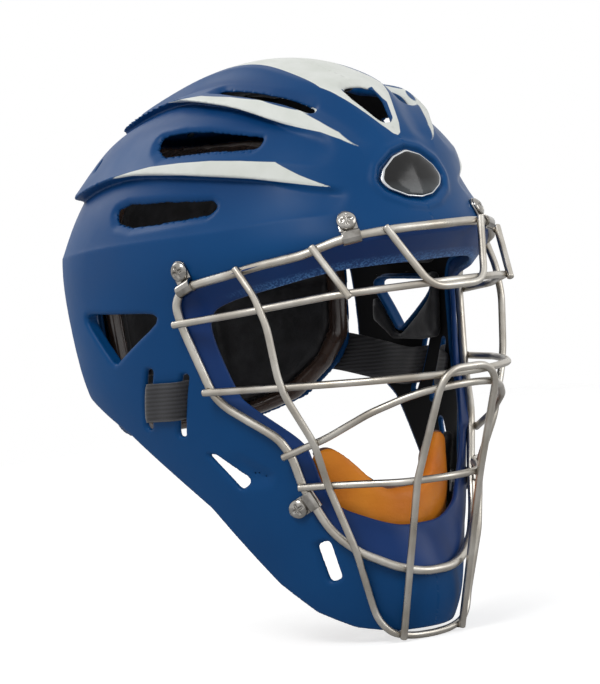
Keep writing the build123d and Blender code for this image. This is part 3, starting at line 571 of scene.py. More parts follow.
def stripe_distance(points):
    """Millimetres inside the nearest stripe, negative off it."""
    x, y, z = points.T
    upper, lower = -outline_distance(STRIPE_UPPER, y, z), -outline_distance(STRIPE_LOWER, y, z)
    band = np.minimum(-outline_distance(TOP_BAND, x, y), outline_distance(TEARDROP, x, y) - TEARDROP_EDGE)
    band = np.where(z > TOP_BAND_FROM, band, OFF_STRIPE)
    skin = form_distance(x, y, z) + grooves(x, y, z) + STRIPE_SKIN
    return np.minimum(np.maximum(np.maximum(upper, lower), band), skin)


def lining_distance(points):
    """Millimetres inside the black flocking of the inner wall, negative off it."""
    x, y, z = points.T
    inner = -(form_distance(x, y, z) + grooves(x, y, z, WALL)) - WALL + FLOCK_OVER
    clear = np.min([distance for distance, _, _ in openings(x, y, z)], axis=0) - FLOCK_CLEAR
    edges = np.minimum(face_edge(y, z), -rear_edge(y, z)) - FLOCK_EDGE
    return np.min([inner, clear, edges, ear_hole(y, z) - FLOCK_COLLAR], axis=0)


mark(shell_obj, "stripe", stripe_distance(shell_points))
# Painted shade in the grooves: how far each point lies down a groove, so the blue can be darkened there.
mark(shell_obj, "groove_shade", np.clip(grooves(*shell_points.T) / 7.0, 0, 1))
mark(shell_obj, "lining", lining_distance(shell_points))

shell_paint = finish("shell_plastic", (20, 62, 110), 0.42, Specular_IOR_Level=0.16)
body_colour = patchy(shell_paint, 9.0, 0.35, 0.65, (4, 64, 116), (8, 71, 125))
# Painted shade: the shell's blue is darkened toward navy the deeper a groove sinks.
painted_groove_shade = between(shell_paint, marked(shell_paint, "groove_shade"), 0.3, 1.0, 0.0, 0.4)
body_colour = mixed(shell_paint, painted_groove_shade, body_colour, (9, 44, 96))
on_stripe = between(shell_paint, marked(shell_paint, "stripe"), -0.12, 0.12)
vinyl = patchy(shell_paint, 60.0, 0.4, 0.7, (228, 231, 226), (218, 222, 215))
lined = between(shell_paint, marked(shell_paint, "lining"), -0.15, 0.15)
outside = mixed(shell_paint, on_stripe, body_colour, vinyl)
feed(shell_paint, mixed(shell_paint, lined, outside, (17, 17, 19)), "Base Color")
satin = between(shell_paint, noise(shell_paint, 35.0), 0.3, 0.7, 0.36, 0.48)
flock = between(shell_paint, lined, 0.0, 1.0, 0.0, 0.85)
feed(shell_paint, joined(shell_paint, "MAXIMUM", satin, flock), "Roughness")
grain(shell_paint, 420.0, 0.05, 0.5, 2.0)
relief(shell_paint, on_stripe, 0.15, 0.6)
fit(shell_obj, shell_paint, "shell_blue", "shell", "front_shell")

# Lip of the front shell. The same plastic turns inward all round the face opening, a strip as wide as
# a thumb with a rounded inner edge; the cage's frame wire lies over its root.
LIP_INNER = [
    (0, -117, 38), (22, -115, 38), (44, -106, 37), (64, -84, 32), (75, -60, 27),
    (80, -50, 21), (80, -49, 9), (73, -54, -18), (69, -59, -27), (53, -76, -47),
    (49.5, -80, -57), (45.5, -81, -70), (39, -84, -82), (29, -92, -89), (14, -98, -95),
    (0, -99, -96),
]
LIP_OUTER = [
    (0, -137, 53), (24, -133, 52.5), (46, -121, 51), (74, -89, 44), (87, -57, 38),
    (91, -38, 32), (90, -37, 13), (82.5, -45, -17), (77, -52, -27), (61, -73, -47),
    (56, -75, -57), (53, -75.5, -72), (49, -78, -86), (39, -86, -101), (20, -101, -116),
    (0, -108, -120),
]
LIP_WALL = 2.6
LIP_ROOT = 1.2
LIP_STEPS = 9
# Across the lip's section: where the speckle and the painted highlight lie, on its rounded inner edge.
SPECKLE_HIGHLIGHT_SHARES = [0] * 5 + [0.5] + [1] * 9 + [0.5] + [0] * 5


def flowing(points, steps, closed=False):
    """A smooth line through points."""
    points = np.asarray(points, float)
    count = len(points)
    line = []
    for k in range(count if closed else count - 1):
        near = np.arange(k - 1, k + 3)
        a, b, c, d = points[near % count if closed else np.clip(near, 0, count - 1)]
        for share in np.arange(steps) / steps:
            line.append(0.5 * (2 * b + (c - a) * share + (2 * a - 5 * b + 4 * c - d) * share ** 2
                               + (3 * b - 3 * c + d - a) * share ** 3))
    if not closed:
        line.append(points[-1])
    return np.array(line)


def on_form(points, lift=0.0, distance=form_distance):
    """Points brought straight onto the form, or to a height over it, with the outward direction there."""
    points = np.array(points, float).reshape(-1, 3)
    for _ in range(8):
        here, slope = slope_of(distance, points)
        slope /= np.linalg.norm(slope, axis=1)[:, None]
        points = points + slope * (lift - here)[:, None]
    return points, slope


def strip_mesh(sections, closed, wrapped=True):
    """Quads between matching sections."""
    sections = np.asarray(sections)
    rows, across = sections.shape[:2]
    quads = []
    for i in range(rows if closed else rows - 1):
        for j in range(across if wrapped else across - 1):
            a, b = i * across, (i + 1) % rows * across
            quads.append((a + j, a + (j + 1) % across, b + (j + 1) % across, b + j))
    return sections.reshape(-1, 3), quads


outer_line = flowing(mirrored(LIP_OUTER), LIP_STEPS, True)
inner_line = flowing(mirrored(LIP_INNER), LIP_STEPS, True)
lip_sections = []
for k, (outer, inner) in enumerate(zip(outer_line, inner_line)):
    run = outer_line[(k + 1) % len(outer_line)] - outer_line[k - 1]
    width = np.linalg.norm(inner - outer)
    across = (inner - outer) / width
    normal = np.cross(run, across)
    normal *= LIP_WALL / 2 / np.linalg.norm(normal)
    flat = np.linspace(-LIP_ROOT, width - LIP_WALL / 2, 7)
    section = [outer + across * reach - normal for reach in flat]
    for turn in np.radians(np.linspace(-90, 90, 9)[1:-1]):
        reach = width - LIP_WALL / 2 + LIP_WALL / 2 * math.cos(turn)
        section.append(outer + across * reach + normal * math.sin(turn))
    lip_sections.append(section + [outer + across * reach + normal for reach in flat[::-1]])
lip_sections = np.array(lip_sections)
lip_obj = new_object("shell_lip", *strip_mesh(lip_sections, True))
# Speckle and painted highlight on the lip's rounded inner edge, over the brow only.
mark(lip_obj, "rim", (SPECKLE_HIGHLIGHT_SHARES * step(lip_sections[..., 2], 28.0, 33.0)).ravel())
lip_paint = finish("lip_plastic_painted_light", (6, 54, 112), 0.4, Specular_IOR_Level=0.25)
grains = between(lip_paint, noise(lip_paint, 900.0, 4.0), 0.46, 0.6, 0.15, 1.0)
# Painted highlight with speckle: the brow's inner edge is lightened toward light blue in grains.
speckle_and_highlight = joined(lip_paint, "MULTIPLY", marked(lip_paint, "rim"), grains)
# Painted shade: the lip is the shell's own plastic, given a darker blue than the shell as the shade on the
# turned-in strip.
shaded_lip_body = patchy(lip_paint, 9.0, 0.35, 0.65, (4, 46, 104), (8, 56, 114))
feed(lip_paint, mixed(lip_paint, speckle_and_highlight, shaded_lip_body, (84, 138, 200)), "Base Color")
worn(lip_paint, 35.0, 0.36, 0.48)
relief(lip_paint, speckle_and_highlight, 0.12, 0.6)
fit(lip_obj, lip_paint, "shell_blue", "shell", "front_shell")

# Badge. A plain epoxy-filled dome on a thin metal base, pressed into the recess over the brow.
BADGE = mirrored([(0, 94.3), (9, 91.3), (16.6, 85.2), (20, 79.2), (16.8, 74.8), (8.2, 70.4), (0, 69.2)])
BADGE_MIDDLE = (0.0, 81.0)
BADGE_OVAL = (19.0, 12.4)
BADGE_HEIGHTS = [(1.0, -1.8), (1.0, 0.0), (0.985, 0.35), (0.95, 0.55), (0.93, 0.5), (0.915, 0.75),
                 (0.88, 1.05), (0.8, 1.4), (0.65, 1.75), (0.45, 2.0), (0.2, 2.15), (0.02, 2.2)]
BASE_RINGS = 4
DROP_ROUNDS = 60


def capped(rings, swapped=False):
    """A strip between rings of points with both its ends closed."""
    points, quads = strip_mesh(rings, False)
    count = len(rings[0])
    ends = [tuple(range(count)), tuple(range(len(points) - count, len(points)))]
    ends[swapped] = ends[swapped][::-1]
    return points, quads + ends


def dropped(distance, place, axis, way, lift=0.0):
    """A place moved along one axis until it stands on a surface, or at a height over it."""
    spot = np.array(place, float)[:, None]
    for _ in range(DROP_ROUNDS):
        spot[axis] += way * np.clip(distance(*spot) - lift, -20, 20)
    return spot[:, 0]


badge_line = np.array(rounded(BADGE, 6.0, 6)) - BADGE_MIDDLE
badge_turns = np.arctan2(badge_line[:, 1] / BADGE_OVAL[1], badge_line[:, 0] / BADGE_OVAL[0])
badge_oval = np.stack([BADGE_OVAL[0] * np.cos(badge_turns), BADGE_OVAL[1] * np.sin(badge_turns)], axis=1)
badge_heart, badge_side, badge_up, badge_down = (
    dropped(form_distance, (across, -100.0, BADGE_MIDDLE[1] + up), 1, 1)[1]
    for across, up in ((0, 0), (BADGE_OVAL[0], 0), (0, BADGE_OVAL[1]), (0, -BADGE_OVAL[1])))


def on_badge(place, height):
    """A point over the smooth bowl that the badge sits on."""
    across, up = (np.array(place) - BADGE_MIDDLE) / BADGE_OVAL
    bowl = (badge_side - badge_heart) * across ** 2 + ((badge_up + badge_down) / 2 - badge_heart) * up ** 2
    return (place[0], badge_heart + bowl + (badge_up - badge_down) / 2 * up - height, place[1])


badge_rings = []
for share, height in BADGE_HEIGHTS:
    outline = BADGE_MIDDLE + share * (badge_line * share ** 2 + badge_oval * (1 - share ** 2))
    badge_rings.append([on_badge(place, height) for place in outline])
badge_points, badge_quads = capped(badge_rings)
badge_obj = new_object("badge_dome", badge_points, badge_quads)
mark(badge_obj, "height", badge_points[:, 2])
dome_paint = finish("badge_epoxy", (10, 10, 11), 0.1, Specular_IOR_Level=0.35)
low_down = between(dome_paint, marked(dome_paint, "height"), 79.0, 73.0)
dome_colour = mixed(dome_paint, low_down, (9, 9, 10), (66, 70, 72))
haze = between(dome_paint, noise(dome_paint, 200.0), 0.4, 0.7, 0.0, 0.12)
feed(dome_paint, mixed(dome_paint, haze, dome_colour, (26, 27, 29)), "Base Color")
worn(dome_paint, 90.0, 0.08, 0.16)
base_metal = finish("badge_rim", (196, 198, 200), 0.25, Metallic=1.0)
worn(base_metal, 300.0, 0.2, 0.36)
fit(badge_obj, dome_paint, "badge_plastic", "shell", "badge")
badge_obj.data.materials.append(base_metal)
for face in badge_obj.data.polygons[:len(badge_line) * BASE_RINGS]:
    face.material_index = 1

# Cage. Round steel wires, bent cold and welded where they cross, then blasted and left bare: a frame
# wire round the face opening, cross bars, two long uprights, a brow loop and short struts.
WIRE_NAMES = ["perimeter_wire", "eye_bar", "nose_bar", "slant_bar", "lower_bar", "long_u_wire",
              "inverted_u_wire", "brow_loop", "brow_strut_left", "brow_strut_right"]
FRAME_WIRE_RADIUS = 2.3
BAR_RADIUS = 1.9
WIRE_SIDES = 12
WIRE_STEP = 1.0
FRAME_START = 10.0
USUAL_BEND = 7.0
BEND_REACH = {"inverted_u_wire": 5.0, "brow_loop": 4.0}


def joined_verts(ring, passed):
    """Indices of the points next to a ring that the walk hasn't passed."""
    return {vert.index for v in ring for e in v.link_edges for vert in [e.other_vert(v)]} - passed


def wire_end(work):
    """The end face of a wire that lies furthest to the near side."""
    caps = []
    for face in work.faces:
        reach = [(v.co - face.calc_center_median()).length for v in face.verts]
        if len(reach) == WIRE_SIDES and max(reach) - min(reach) < 0.05 * MM:
            caps.append(face)
    return min(caps, key=lambda face: tuple(face.calc_center_median()))


def centre_line(name):
    """The line down the middle of a wire of the frame, ring after ring of its flats."""
    work = bmesh.new()
    work.from_mesh(nodes[name].data)
    bmesh.ops.remove_doubles(work, verts=work.verts, dist=0.01 * MM)
    bmesh.ops.dissolve_limit(work, angle_limit=math.radians(0.3), verts=work.verts, edges=work.edges)
    work.verts.ensure_lookup_table()
    if name == "perimeter_wire":
        ring = [v for v in work.verts if 0 < v.co.x < FRAME_START * MM and v.co.z > 0]
        ahead = {index for index in joined_verts(ring, set()) if work.verts[index].co.x > FRAME_START * MM}
    else:
        ring = list(wire_end(work).verts)
        ahead = joined_verts(ring, {v.index for v in ring})
    passed = {v.index for v in ring}
    middles = []
    while ring:
        middles.append(np.mean([tuple(v.co) for v in ring], axis=0) / MM)
        ring = [work.verts[index] for index in ahead]
        passed |= ahead
        ahead = joined_verts(ring, passed)
    work.free()
    return np.array(middles)


def even_steps(line, size, closed=False):
    """A line cut into steps of about one length."""
    line = np.vstack([line, line[:1]]) if closed else line
    long = np.append(0, np.cumsum(np.linalg.norm(np.diff(line, axis=0), axis=1)))
    spots = np.linspace(0, long[-1], max(int(long[-1] / size), 2) + 1)
    line = np.stack([np.interp(spots, long, line[:, k]) for k in range(3)], axis=1)
    return line[:-1] if closed else line


def bent(line, reach, closed=False):
    """Rounds the corners of a line over a length of wire."""
    line = even_steps(line, WIRE_STEP, closed)
    wide = int(round(reach / WIRE_STEP))
    weights = np.hanning(2 * wide + 3)[1:-1]
    if closed:
        padded = np.vstack([line[-wide:], line, line[:wide]])
    else:
        first = 2 * line[0] - line[1:wide + 1][::-1]
        last = 2 * line[-1] - line[-wide - 1:-1][::-1]
        padded = np.vstack([first, line, last])
    return np.stack([np.convolve(padded[:, k], weights / weights.sum(), "valid") for k in range(3)], axis=1)


def tube(line, radius, closed=False, sides=16, cut=0.35):
    """Round wire along a line, its sawn ends lightly broken."""
    line = np.asarray(line, float)
    count = len(line)
    runs = np.array([(line[(k + 1) % count] if closed or k < count - 1 else line[k])
                     - (line[k - 1] if closed or k else line[k]) for k in range(count)])
    runs /= np.linalg.norm(runs, axis=1)[:, None]
    side = np.cross(runs[0], (0.0, 0.0, 1.0) if abs(runs[0][2]) < 0.9 else (1.0, 0.0, 0.0))
    frames = []
    for run in runs:
        side = side - run * (side @ run)
        side /= np.linalg.norm(side)
        frames.append((side, np.cross(run, side)))
    turns = np.arange(sides) * 2 * math.pi / sides
    if closed:
        twist = math.atan2(frames[-1][0] @ frames[0][1], frames[-1][0] @ frames[0][0])
        rings = [place + radius * (np.outer(np.cos(turns - twist * k / count), side)
                                   + np.outer(np.sin(turns - twist * k / count), other))
                 for k, (place, (side, other)) in enumerate(zip(line, frames))]
        return strip_mesh(rings, True)
    line = np.vstack([line[:1], line[:1] + runs[0] * cut, line[1:-1], line[-1:] - runs[-1] * cut, line[-1:]])
    frames = frames[:1] + frames + frames[-1:]
    sizes = [radius - cut] + [radius] * count + [radius - cut]
    return capped([place + size * (np.outer(np.cos(turns), side) + np.outer(np.sin(turns), other))
                   for place, (side, other), size in zip(line, frames, sizes)])


wire_metal = finish("wire_steel", (166, 160, 150), 0.3, Metallic=1.0)
dyed(wire_metal, 55.0, 0.35, 0.68, (198, 194, 186), (168, 161, 150), 4.0)
worn(wire_metal, 160.0, 0.26, 0.44, detail=4.0)
grain(wire_metal, 900.0, 0.05, 0.6, 2.0)

wires = {}
for name in WIRE_NAMES:
    closed = name == "perimeter_wire"
    radius = FRAME_WIRE_RADIUS if closed else BAR_RADIUS
    line = centre_line(name)
    straight = name.startswith("brow_strut")
    line = even_steps(line, WIRE_STEP) if straight else bent(line, BEND_REACH.get(name, USUAL_BEND), closed)
    wires[name] = (line, radius)
    fit(new_object(name + "_round", *tube(line, radius, closed)), wire_metal, "cage_wire", "shell", name)

# Welds of the cage. Small resistance welds: a low bead squeezed out where two wires press together,
# darker and rougher than the wire.
WELD_LONG = 2.04
WELD_HIGH = 1.5
WELD_WIDE = 1.7
WELD_NEAR = 0.6
WELD_SIDES = 12


def weld_spots():
    """Middle, lengthwise and outward directions of each place where two wires touch."""
    spots = []
    names = list(wires)
    for i, first in enumerate(names):
        for second in names[i + 1:]:
            (a, ra), (b, rb) = wires[first], wires[second]
            gaps = np.linalg.norm(a[:, None, :] - b[None, :, :], axis=2)
            near = gaps.min(axis=1)
            close = np.where(near < ra + rb + WELD_NEAR)[0]
            for group in np.split(close, np.where(np.diff(close) > 4)[0] + 1) if len(close) else []:
                k = group[np.argmin(near[group])]
                j = int(np.argmin(gaps[k]))
                run = a[min(k + 1, len(a) - 1)] - a[k - 1 if k else 0]
                spots.append(((a[k] * rb + b[j] * ra) / (ra + rb), run / np.linalg.norm(run), b[j] - a[k]))
    return spots


weld_metal = finish("weld_scale", (92, 84, 76), 0.5, Metallic=1.0)
dyed(weld_metal, 500.0, 0.35, 0.65, (70, 62, 56), (128, 118, 104))
grain(weld_metal, 700.0, 0.3, 0.7)
bead_points, bead_faces = [], []
weld_turns = np.arange(WELD_SIDES) * 2 * math.pi / WELD_SIDES
for middle, run, across in weld_spots():
    across = across / max(np.linalg.norm(across), 1e-6)
    side = np.cross(run, across)
    side /= np.linalg.norm(side)
    lumpy = 1 + 0.12 * np.sin(3 * weld_turns + middle[0])
    outline = (np.outer(np.cos(weld_turns) * lumpy, run) * WELD_LONG
               + np.outer(np.sin(weld_turns) * lumpy, side) * WELD_WIDE)
    points, faces = capped([middle + across * (WELD_HIGH * math.sin(up)) + math.cos(up) * outline
                            for up in np.radians(np.linspace(-80, 80, 7))], True)
    start = len(points) * len(bead_points)
    bead_points.append(points)
    bead_faces += [tuple(index + start for index in face) for face in faces]
weld_obj = new_object("cage_welds", np.concatenate(bead_points), bead_faces)
fit(weld_obj, weld_metal, "cage_wire", "shell")

# Cage clips and their screws. Each clip is a chromed steel band folded over the frame wire, its
# rounded tongue held to the shell by a domed cross-recess screw into a flanged nut inside the wall.
CLIP_PLACES = [(-88, -42, 44), (-42, -118, 60.5), (-62, -66, -86)]
CLIP_HALF = 4.75
CLIP_REACH = 9.2
CLIP_SHEET = 1.2
CLIP_HEEL = 5.5
CLIP_OVER = 0.2
CLIP_TURN = 190
CLIP_ACROSS = 9
HEAD_SIDES = 48
HEAD_HEIGHTS = [(5.0, 0.0), (5.0, 0.75), (4.85, 1.05), (4.6, 1.3), (4.2, 1.6), (3.6, 1.95), (3.0, 2.22),
                (2.4, 2.42), (1.8, 2.57), (1.2, 2.67), (0.6, 2.73), (0.05, 2.75)]
CROSS_ARM = 2.9
CROSS_HALF = 0.65
CROSS_DEEP = 1.1


def level(way, out):
    """The direction of a way along the surface."""
    way = way - out * (way @ out)
    return way / np.linalg.norm(way)


def screw_places():
    """Origin, direction to the wire, sideways and outward for each clip, and the wire's nearest point."""
    line = wires["perimeter_wire"][0]
    found = []
    for place in CLIP_PLACES + [(-x, y, z) for x, y, z in CLIP_PLACES]:
        spot, out = (part[0] for part in on_form(place))
        nearest = line[np.argmin(np.linalg.norm(line - spot, axis=1))]
        spot, out = (part[0] for part in on_form(nearest - level(nearest - spot, out) * CLIP_REACH))
        toward = level(nearest - spot, out)
        found.append((spot, toward, np.cross(out, toward), out, nearest))
    return found


def clip_rows(spot, toward, sideways, out, wire_spot):
    """Rows of points across a clip, from its rounded heel over the wire and round under it."""
    far, high = (wire_spot - spot) @ toward, (wire_spot - spot) @ out
    low = CLIP_OVER + CLIP_SHEET / 2
    radius = FRAME_WIRE_RADIUS + low
    profile = [(-CLIP_HEEL + 0.7 * k, low) for k in range(8)]
    profile += [(x, low) for x in np.linspace(0.2, far - radius - 1.2, 6)]
    profile += [(far - radius - 0.5, low + 0.2), (far - radius - 0.05, low + 0.8)]
    turns = np.radians(np.linspace(0, CLIP_TURN, 17))
    profile += [(far - radius * math.cos(turn), high + radius * math.sin(turn)) for turn in turns]
    rows = []
    for x, z in profile:
        past = max(0.0, min(1.0, (x + CLIP_HEEL) / CLIP_HALF)) if z <= low + 0.01 else 1.0
        half = CLIP_HALF * math.sqrt(max(1 - (1 - past) ** 2, 0.02))
        middle = spot + toward * x + out * z
        rows.append([middle + sideways * share * half for share in np.linspace(-1, 1, CLIP_ACROSS)])
    return rows


def screw_rings(spot, toward, sideways, out):
    """Rings of points over a domed head, from its rim to its middle, sunk where the cross is pressed."""
    rings = []
    for radius, height in HEAD_HEIGHTS:
        turns = np.arange(HEAD_SIDES) * 2 * math.pi / HEAD_SIDES
        u, v = radius * np.cos(turns), radius * np.sin(turns)
        arms = np.minimum(np.maximum(abs(u) - CROSS_ARM, abs(v) - CROSS_HALF),
                          np.maximum(abs(v) - CROSS_ARM, abs(u) - CROSS_HALF))
        rise = CLIP_OVER + CLIP_SHEET + height - CROSS_DEEP * (1 - step(arms, -0.25, 0.25))
        rings.append(spot + np.outer(u, toward) + np.outer(v, sideways) + np.outer(rise, out))
    return rings


def broken_edges(obj, width, turn):
    """Takes the sharpness off a piece's edges."""
    edge = obj.modifiers.new("edge", "BEVEL")
    edge.width, edge.segments = width * MM, 2
    edge.limit_method, edge.angle_limit = "ANGLE", math.radians(turn)


chrome = finish("clip_chrome", (214, 216, 218), 0.12, Metallic=1.0)
dyed(chrome, 130.0, 0.4, 0.75, (168, 165, 160), (112, 108, 102))
worn(chrome, 220.0, 0.08, 0.24, 0.3, 0.75, 4.0)
grain(chrome, 260.0, 0.04, 0.5)
for number, (*axes, wire_spot) in enumerate(screw_places(), 1):
    clip_obj = new_object(f"cage_clip_{number}", *strip_mesh(clip_rows(*axes, wire_spot), False, False))
    sheet_metal = clip_obj.modifiers.new("sheet", "SOLIDIFY")
    sheet_metal.thickness, sheet_metal.offset = CLIP_SHEET * MM, 0.0
    broken_edges(clip_obj, 0.3, 50)
    screw_obj = new_object(f"clip_screw_{number}", *capped(screw_rings(*axes)))
    fit(clip_obj, chrome, "chrome_metal", "shell", "cage_clips")
    fit(screw_obj, chrome, "chrome_metal", "shell", "clip_screws")

# Nuts and rivets. Zinc-plated steel; the nuts' flanges bear on the inner wall, the rivets hold the tab
# and the straps.
zinc = finish("zinc_plate", (150, 152, 154), 0.36, Metallic=1.0)
dyed(zinc, 240.0, 0.35, 0.7, (164, 166, 168), (120, 121, 122))
worn(zinc, 300.0, 0.28, 0.46)
for name in ("clip_nuts", "crown_rivet", "plate_rivets"):
    nodes[name].data.materials.clear()
    nodes[name].data.materials.append(zinc)
    broken_edges(nodes[name], 0.25, 40)

# Pads inside the front shell. Soft foam cushions under black grained cloth, sewn shut round the rim
# and stuck to the inner wall; they are full in the middle and pull in along their seams.
PAD_GRID = 2.0
PAD_PARTS = {
    "forehead_pad": dict(
        view="front", outline=[(-58, 58), (58, 58), (56, 78), (34, 90), (-34, 90), (-56, 78)],
        gap=6.6, thick=12.0, seams=[[(-24, 56), (-20, 92)], [(24, 56), (20, 92)]],
        box=((-66, -134, 50), (66, -60, 98)), fill=0.6),
    "crown_pad": dict(
        view="top", outline=[(-28, 17), (28, 17), (28, -40), (18, -64), (-18, -64), (-28, -40)],
        gap=5.0, thick=10.0, seams=[[(0, 18), (0, -66)]], box=((-34, -72, 110), (34, 24, 150)), fill=0.7),
    "side_pad": dict(
        view="side", outline=[(-28, 33), (37, 36), (37, 54), (-28, 54)],
        gap=4.2, thick=10.0, seams=[], box=((-104, -34, 26), (-60, 44, 62)), fill=0.6),
    "jaw_pad": dict(
        view="side",
        outline=[(-66, -56), (-55, -54), (-53, -73), (-44, -82), (-44, -98), (-59, -98), (-60.5, -74)],
        gap=4.6, thick=10.0, seams=[], box=((-90, -76, -104), (-30, -36, -48)), fill=0.6),
    "ear_foam": dict(
        view="side", outline=[(-31, -7), (-8, -8.5), (20, -7.5), (37, 4), (37, 32.5), (-31, 29.5)],
        gap=4.2, thick=8.0, seams=[], box=((-104, -38, -14), (-66, 44, 40)), fill=0.8),
}
PAD_CORNER, FOAM_CORNER = 9.0, 5.0
PAD_CROWN = 13.0
PAD_FULL = 0.6
EAR_FOAM_CLEAR = 3.4
STITCH_DEEP, STITCH_WIDE = 2.6, 2.4


def crowned(away, reach):
    """Climbs from 0 at an edge to 1 a way inside it, round as a stuffed seam."""
    inside = np.clip(-away / reach, 0, 1)
    return np.sqrt(inside * (2 - inside))


def pad_field(kind, view, outline, gap, thick, seams):
    """A cushion between two depths under the form, cut to an outline, its free face crowned."""
    edge = template(outline, FOAM_CORNER if kind == "ear_foam" else PAD_CORNER)

    def field(x, y, z):
        u, v, behind = {"front": (x, z, y + 10.0), "top": (x, y, 40.0 - z), "side": (y, z, x)}[view]
        away = edge(u, v)
        if kind == "ear_foam":
            away = np.maximum(away, EAR_FOAM_CLEAR - ear_hole(u, v))
        deep = -form_distance(x, y, z)
        height = thick * (1 - PAD_FULL + PAD_FULL * crowned(away, PAD_CROWN))
        for start, end in seams:
            height = height - STITCH_DEEP * np.exp(-line_gap(*start, *end, u, v) / STITCH_WIDE ** 2)
        body = soft_max(soft_max(gap - deep, deep - gap - height, 4.0), away, 4.5)
        return soft_max(body, behind, 0.2)
    return field


def moulded(field, low, high, grid=PAD_GRID):
    """The points and quads of a field's surface, smoothed."""
    points, quads = zero_surface(field, low, high, grid)
    for _ in range(2):
        points = settle(relax(points, quads, 0.5), field, 2, 0.6)
    return points, quads


cloth_black = finish("pad_cloth", (34, 34, 37), 0.62, Sheen_Weight=0.25, Sheen_Roughness=0.4)
dyed(cloth_black, 120.0, 0.35, 0.7, (26, 26, 29), (50, 50, 54), 5.0)
worn(cloth_black, 80.0, 0.5, 0.72)
grain(cloth_black, 1100.0, 0.18, 0.7, 2.0)
grain(cloth_black, 140.0, 0.5, 0.5)


def soft_piece(node_name, points, quads, material, slot, body, fill):
    """A padded piece, set on its body."""
    obj = new_object(node_name + "_soft", points, quads)
    fit(obj, material, slot, body, node_name)


for kind, pad in PAD_PARTS.items():
    box, fill = pad.pop("box"), pad.pop("fill")
    made, quads = moulded(pad_field(kind, **pad), *box)
    if pad["view"] == "side":
        soft_piece(kind + "_right", made, quads, cloth_black, "black_pad", "shell", fill)
        soft_piece(kind + "_left", made * (-1, 1, 1), quads[:, ::-1], cloth_black, "black_pad", "shell", fill)
    else:
        soft_piece(kind, made, quads, cloth_black, "black_pad", "shell", fill)

# Chin pad. A U of foam under tan leather, folded along the jaw behind the cage, with a brown piping
# sewn round its upper edge and soft creases where the leather bends.
CHIN_OUTLINE = [(-110, -101), (-110, -74), (-88, -63), (-78, -52), (-70.5, -54), (-70.5, -80),
                (-84, -103)]
CHIN_GAP = 3.9
CHIN_FRONT_GAP = 12.0
CHIN_THICK = 14.0
CHIN_ARM_THICK = 6.0
CHIN_CLEAR = 2.4
CHIN_TOP, CHIN_ARM_RISE, CHIN_BEND, CHIN_SLANT = -77.0, 25.0, (8.0, 38.0), 0.85
CHIN_CROWN = 12.0
CHIN_BOX = ((-66, -116, -108), (66, -64, -46))
CHIN_HEART = (15.0, -60.0)
LIP_CLEAR, LAST_CLEAR = 1.2, 0.9
CREASE_DEEP = 0.7
PIPING_RADIUS = 1.5
PIPING_HALF = 44
PIPING_NEAR = 1.6
PIPING_WAY = (0.0, 0.35, 1.0)
chin_outer = egg(CHIN_GAP, CHIN_FRONT_GAP, CHIN_GAP, CHIN_GAP)
chin_edge = template(CHIN_OUTLINE, 6.0)


def chin_field(x, y, z):
    """The chin pad, full between its seams, with creases across the bend."""
    wide = np.abs(x)
    top = CHIN_TOP + CHIN_ARM_RISE * step(wide, *CHIN_BEND)
    away = np.maximum(chin_edge(y, z), (z - top) * CHIN_SLANT)
    deep = -chin_outer(x, y, z)
    crown = crowned(away, CHIN_CROWN)
    crease = np.sin(wide * 0.42 + 0.5 * np.sin(z * 0.3)) * step(-away, 2.0, 8.0) * step(wide, 6.0, 26.0)
    height = CHIN_THICK * (0.5 + 0.5 * crown) + CREASE_DEEP * crease
    height = height + CHIN_ARM_THICK * crown * step(wide, 16.0, 34.0)
    return soft_max(soft_max(-deep + CHIN_CLEAR * (1 - crown), deep - height, 5.0), away, 4.5)


def from_lip(points, clear):
    """Draws points back where they come too near the turned-in lip."""
    spans = inner_line - outer_line
    share = np.clip(((points[:, None] - outer_line) * spans).sum(2) / (spans ** 2).sum(1), 0, 1)
    away = points[:, None] - outer_line - share[..., None] * spans
    gaps = np.linalg.norm(away, axis=2)
    nearest = gaps.argmin(axis=1)
    rows = np.arange(len(points))
    gap, way = gaps[rows, nearest], away[rows, nearest]
    inward = (0.0, *CHIN_HEART) - points
    inward /= np.linalg.norm(inward, axis=1)[:, None]
    side = np.where((way * inward).sum(1) < 0, -1.0, 1.0)
    need = np.clip(clear - gap * side, 0, 12.0)
    return points + inward * need[:, None]


leather = finish("chin_leather", (228, 138, 36), 0.46, Specular_IOR_Level=0.3)
dyed(leather, 24.0, 0.32, 0.7, (236, 146, 40), (208, 112, 20), 5.0)
worn(leather, 70.0, 0.34, 0.52)
grain(leather, 650.0, 0.2, 0.7)
grain(leather, 90.0, 0.9, 0.5, stretch=(1, 1, 2.5))
chin_points, chin_quads = moulded(chin_field, *CHIN_BOX)
chin_points = from_lip(chin_points, LIP_WALL / 2 + LIP_CLEAR)
for _ in range(2):
    chin_points = relax(chin_points, chin_quads, 0.4)
chin_points = from_lip(chin_points, LIP_WALL / 2 + LAST_CLEAR)
soft_piece("chin_pad", chin_points, chin_quads, leather, "orange_leather", "shell", 0.7)

piping_cloth = finish("chin_piping", (84, 46, 28), 0.5)
dyed(piping_cloth, 160.0, 0.35, 0.7, (70, 38, 24), (104, 60, 36))
grain(piping_cloth, 900.0, 0.15, 0.7)
piping_line = []
for x in np.linspace(-PIPING_HALF, PIPING_HALF, PIPING_HALF + 1):
    band = chin_points[np.abs(chin_points[:, 0] - x) < PIPING_NEAR]
    if len(band):
        piping_line.append(band[np.argmax(band @ PIPING_WAY)])
piping_line = bent(even_steps(np.array(piping_line), WIRE_STEP), 6.0)
piping_obj = new_object("chin_pad_piping", *tube(piping_line, PIPING_RADIUS, sides=12, cut=0.5))
fit(piping_obj, piping_cloth, "orange_leather", "shell")

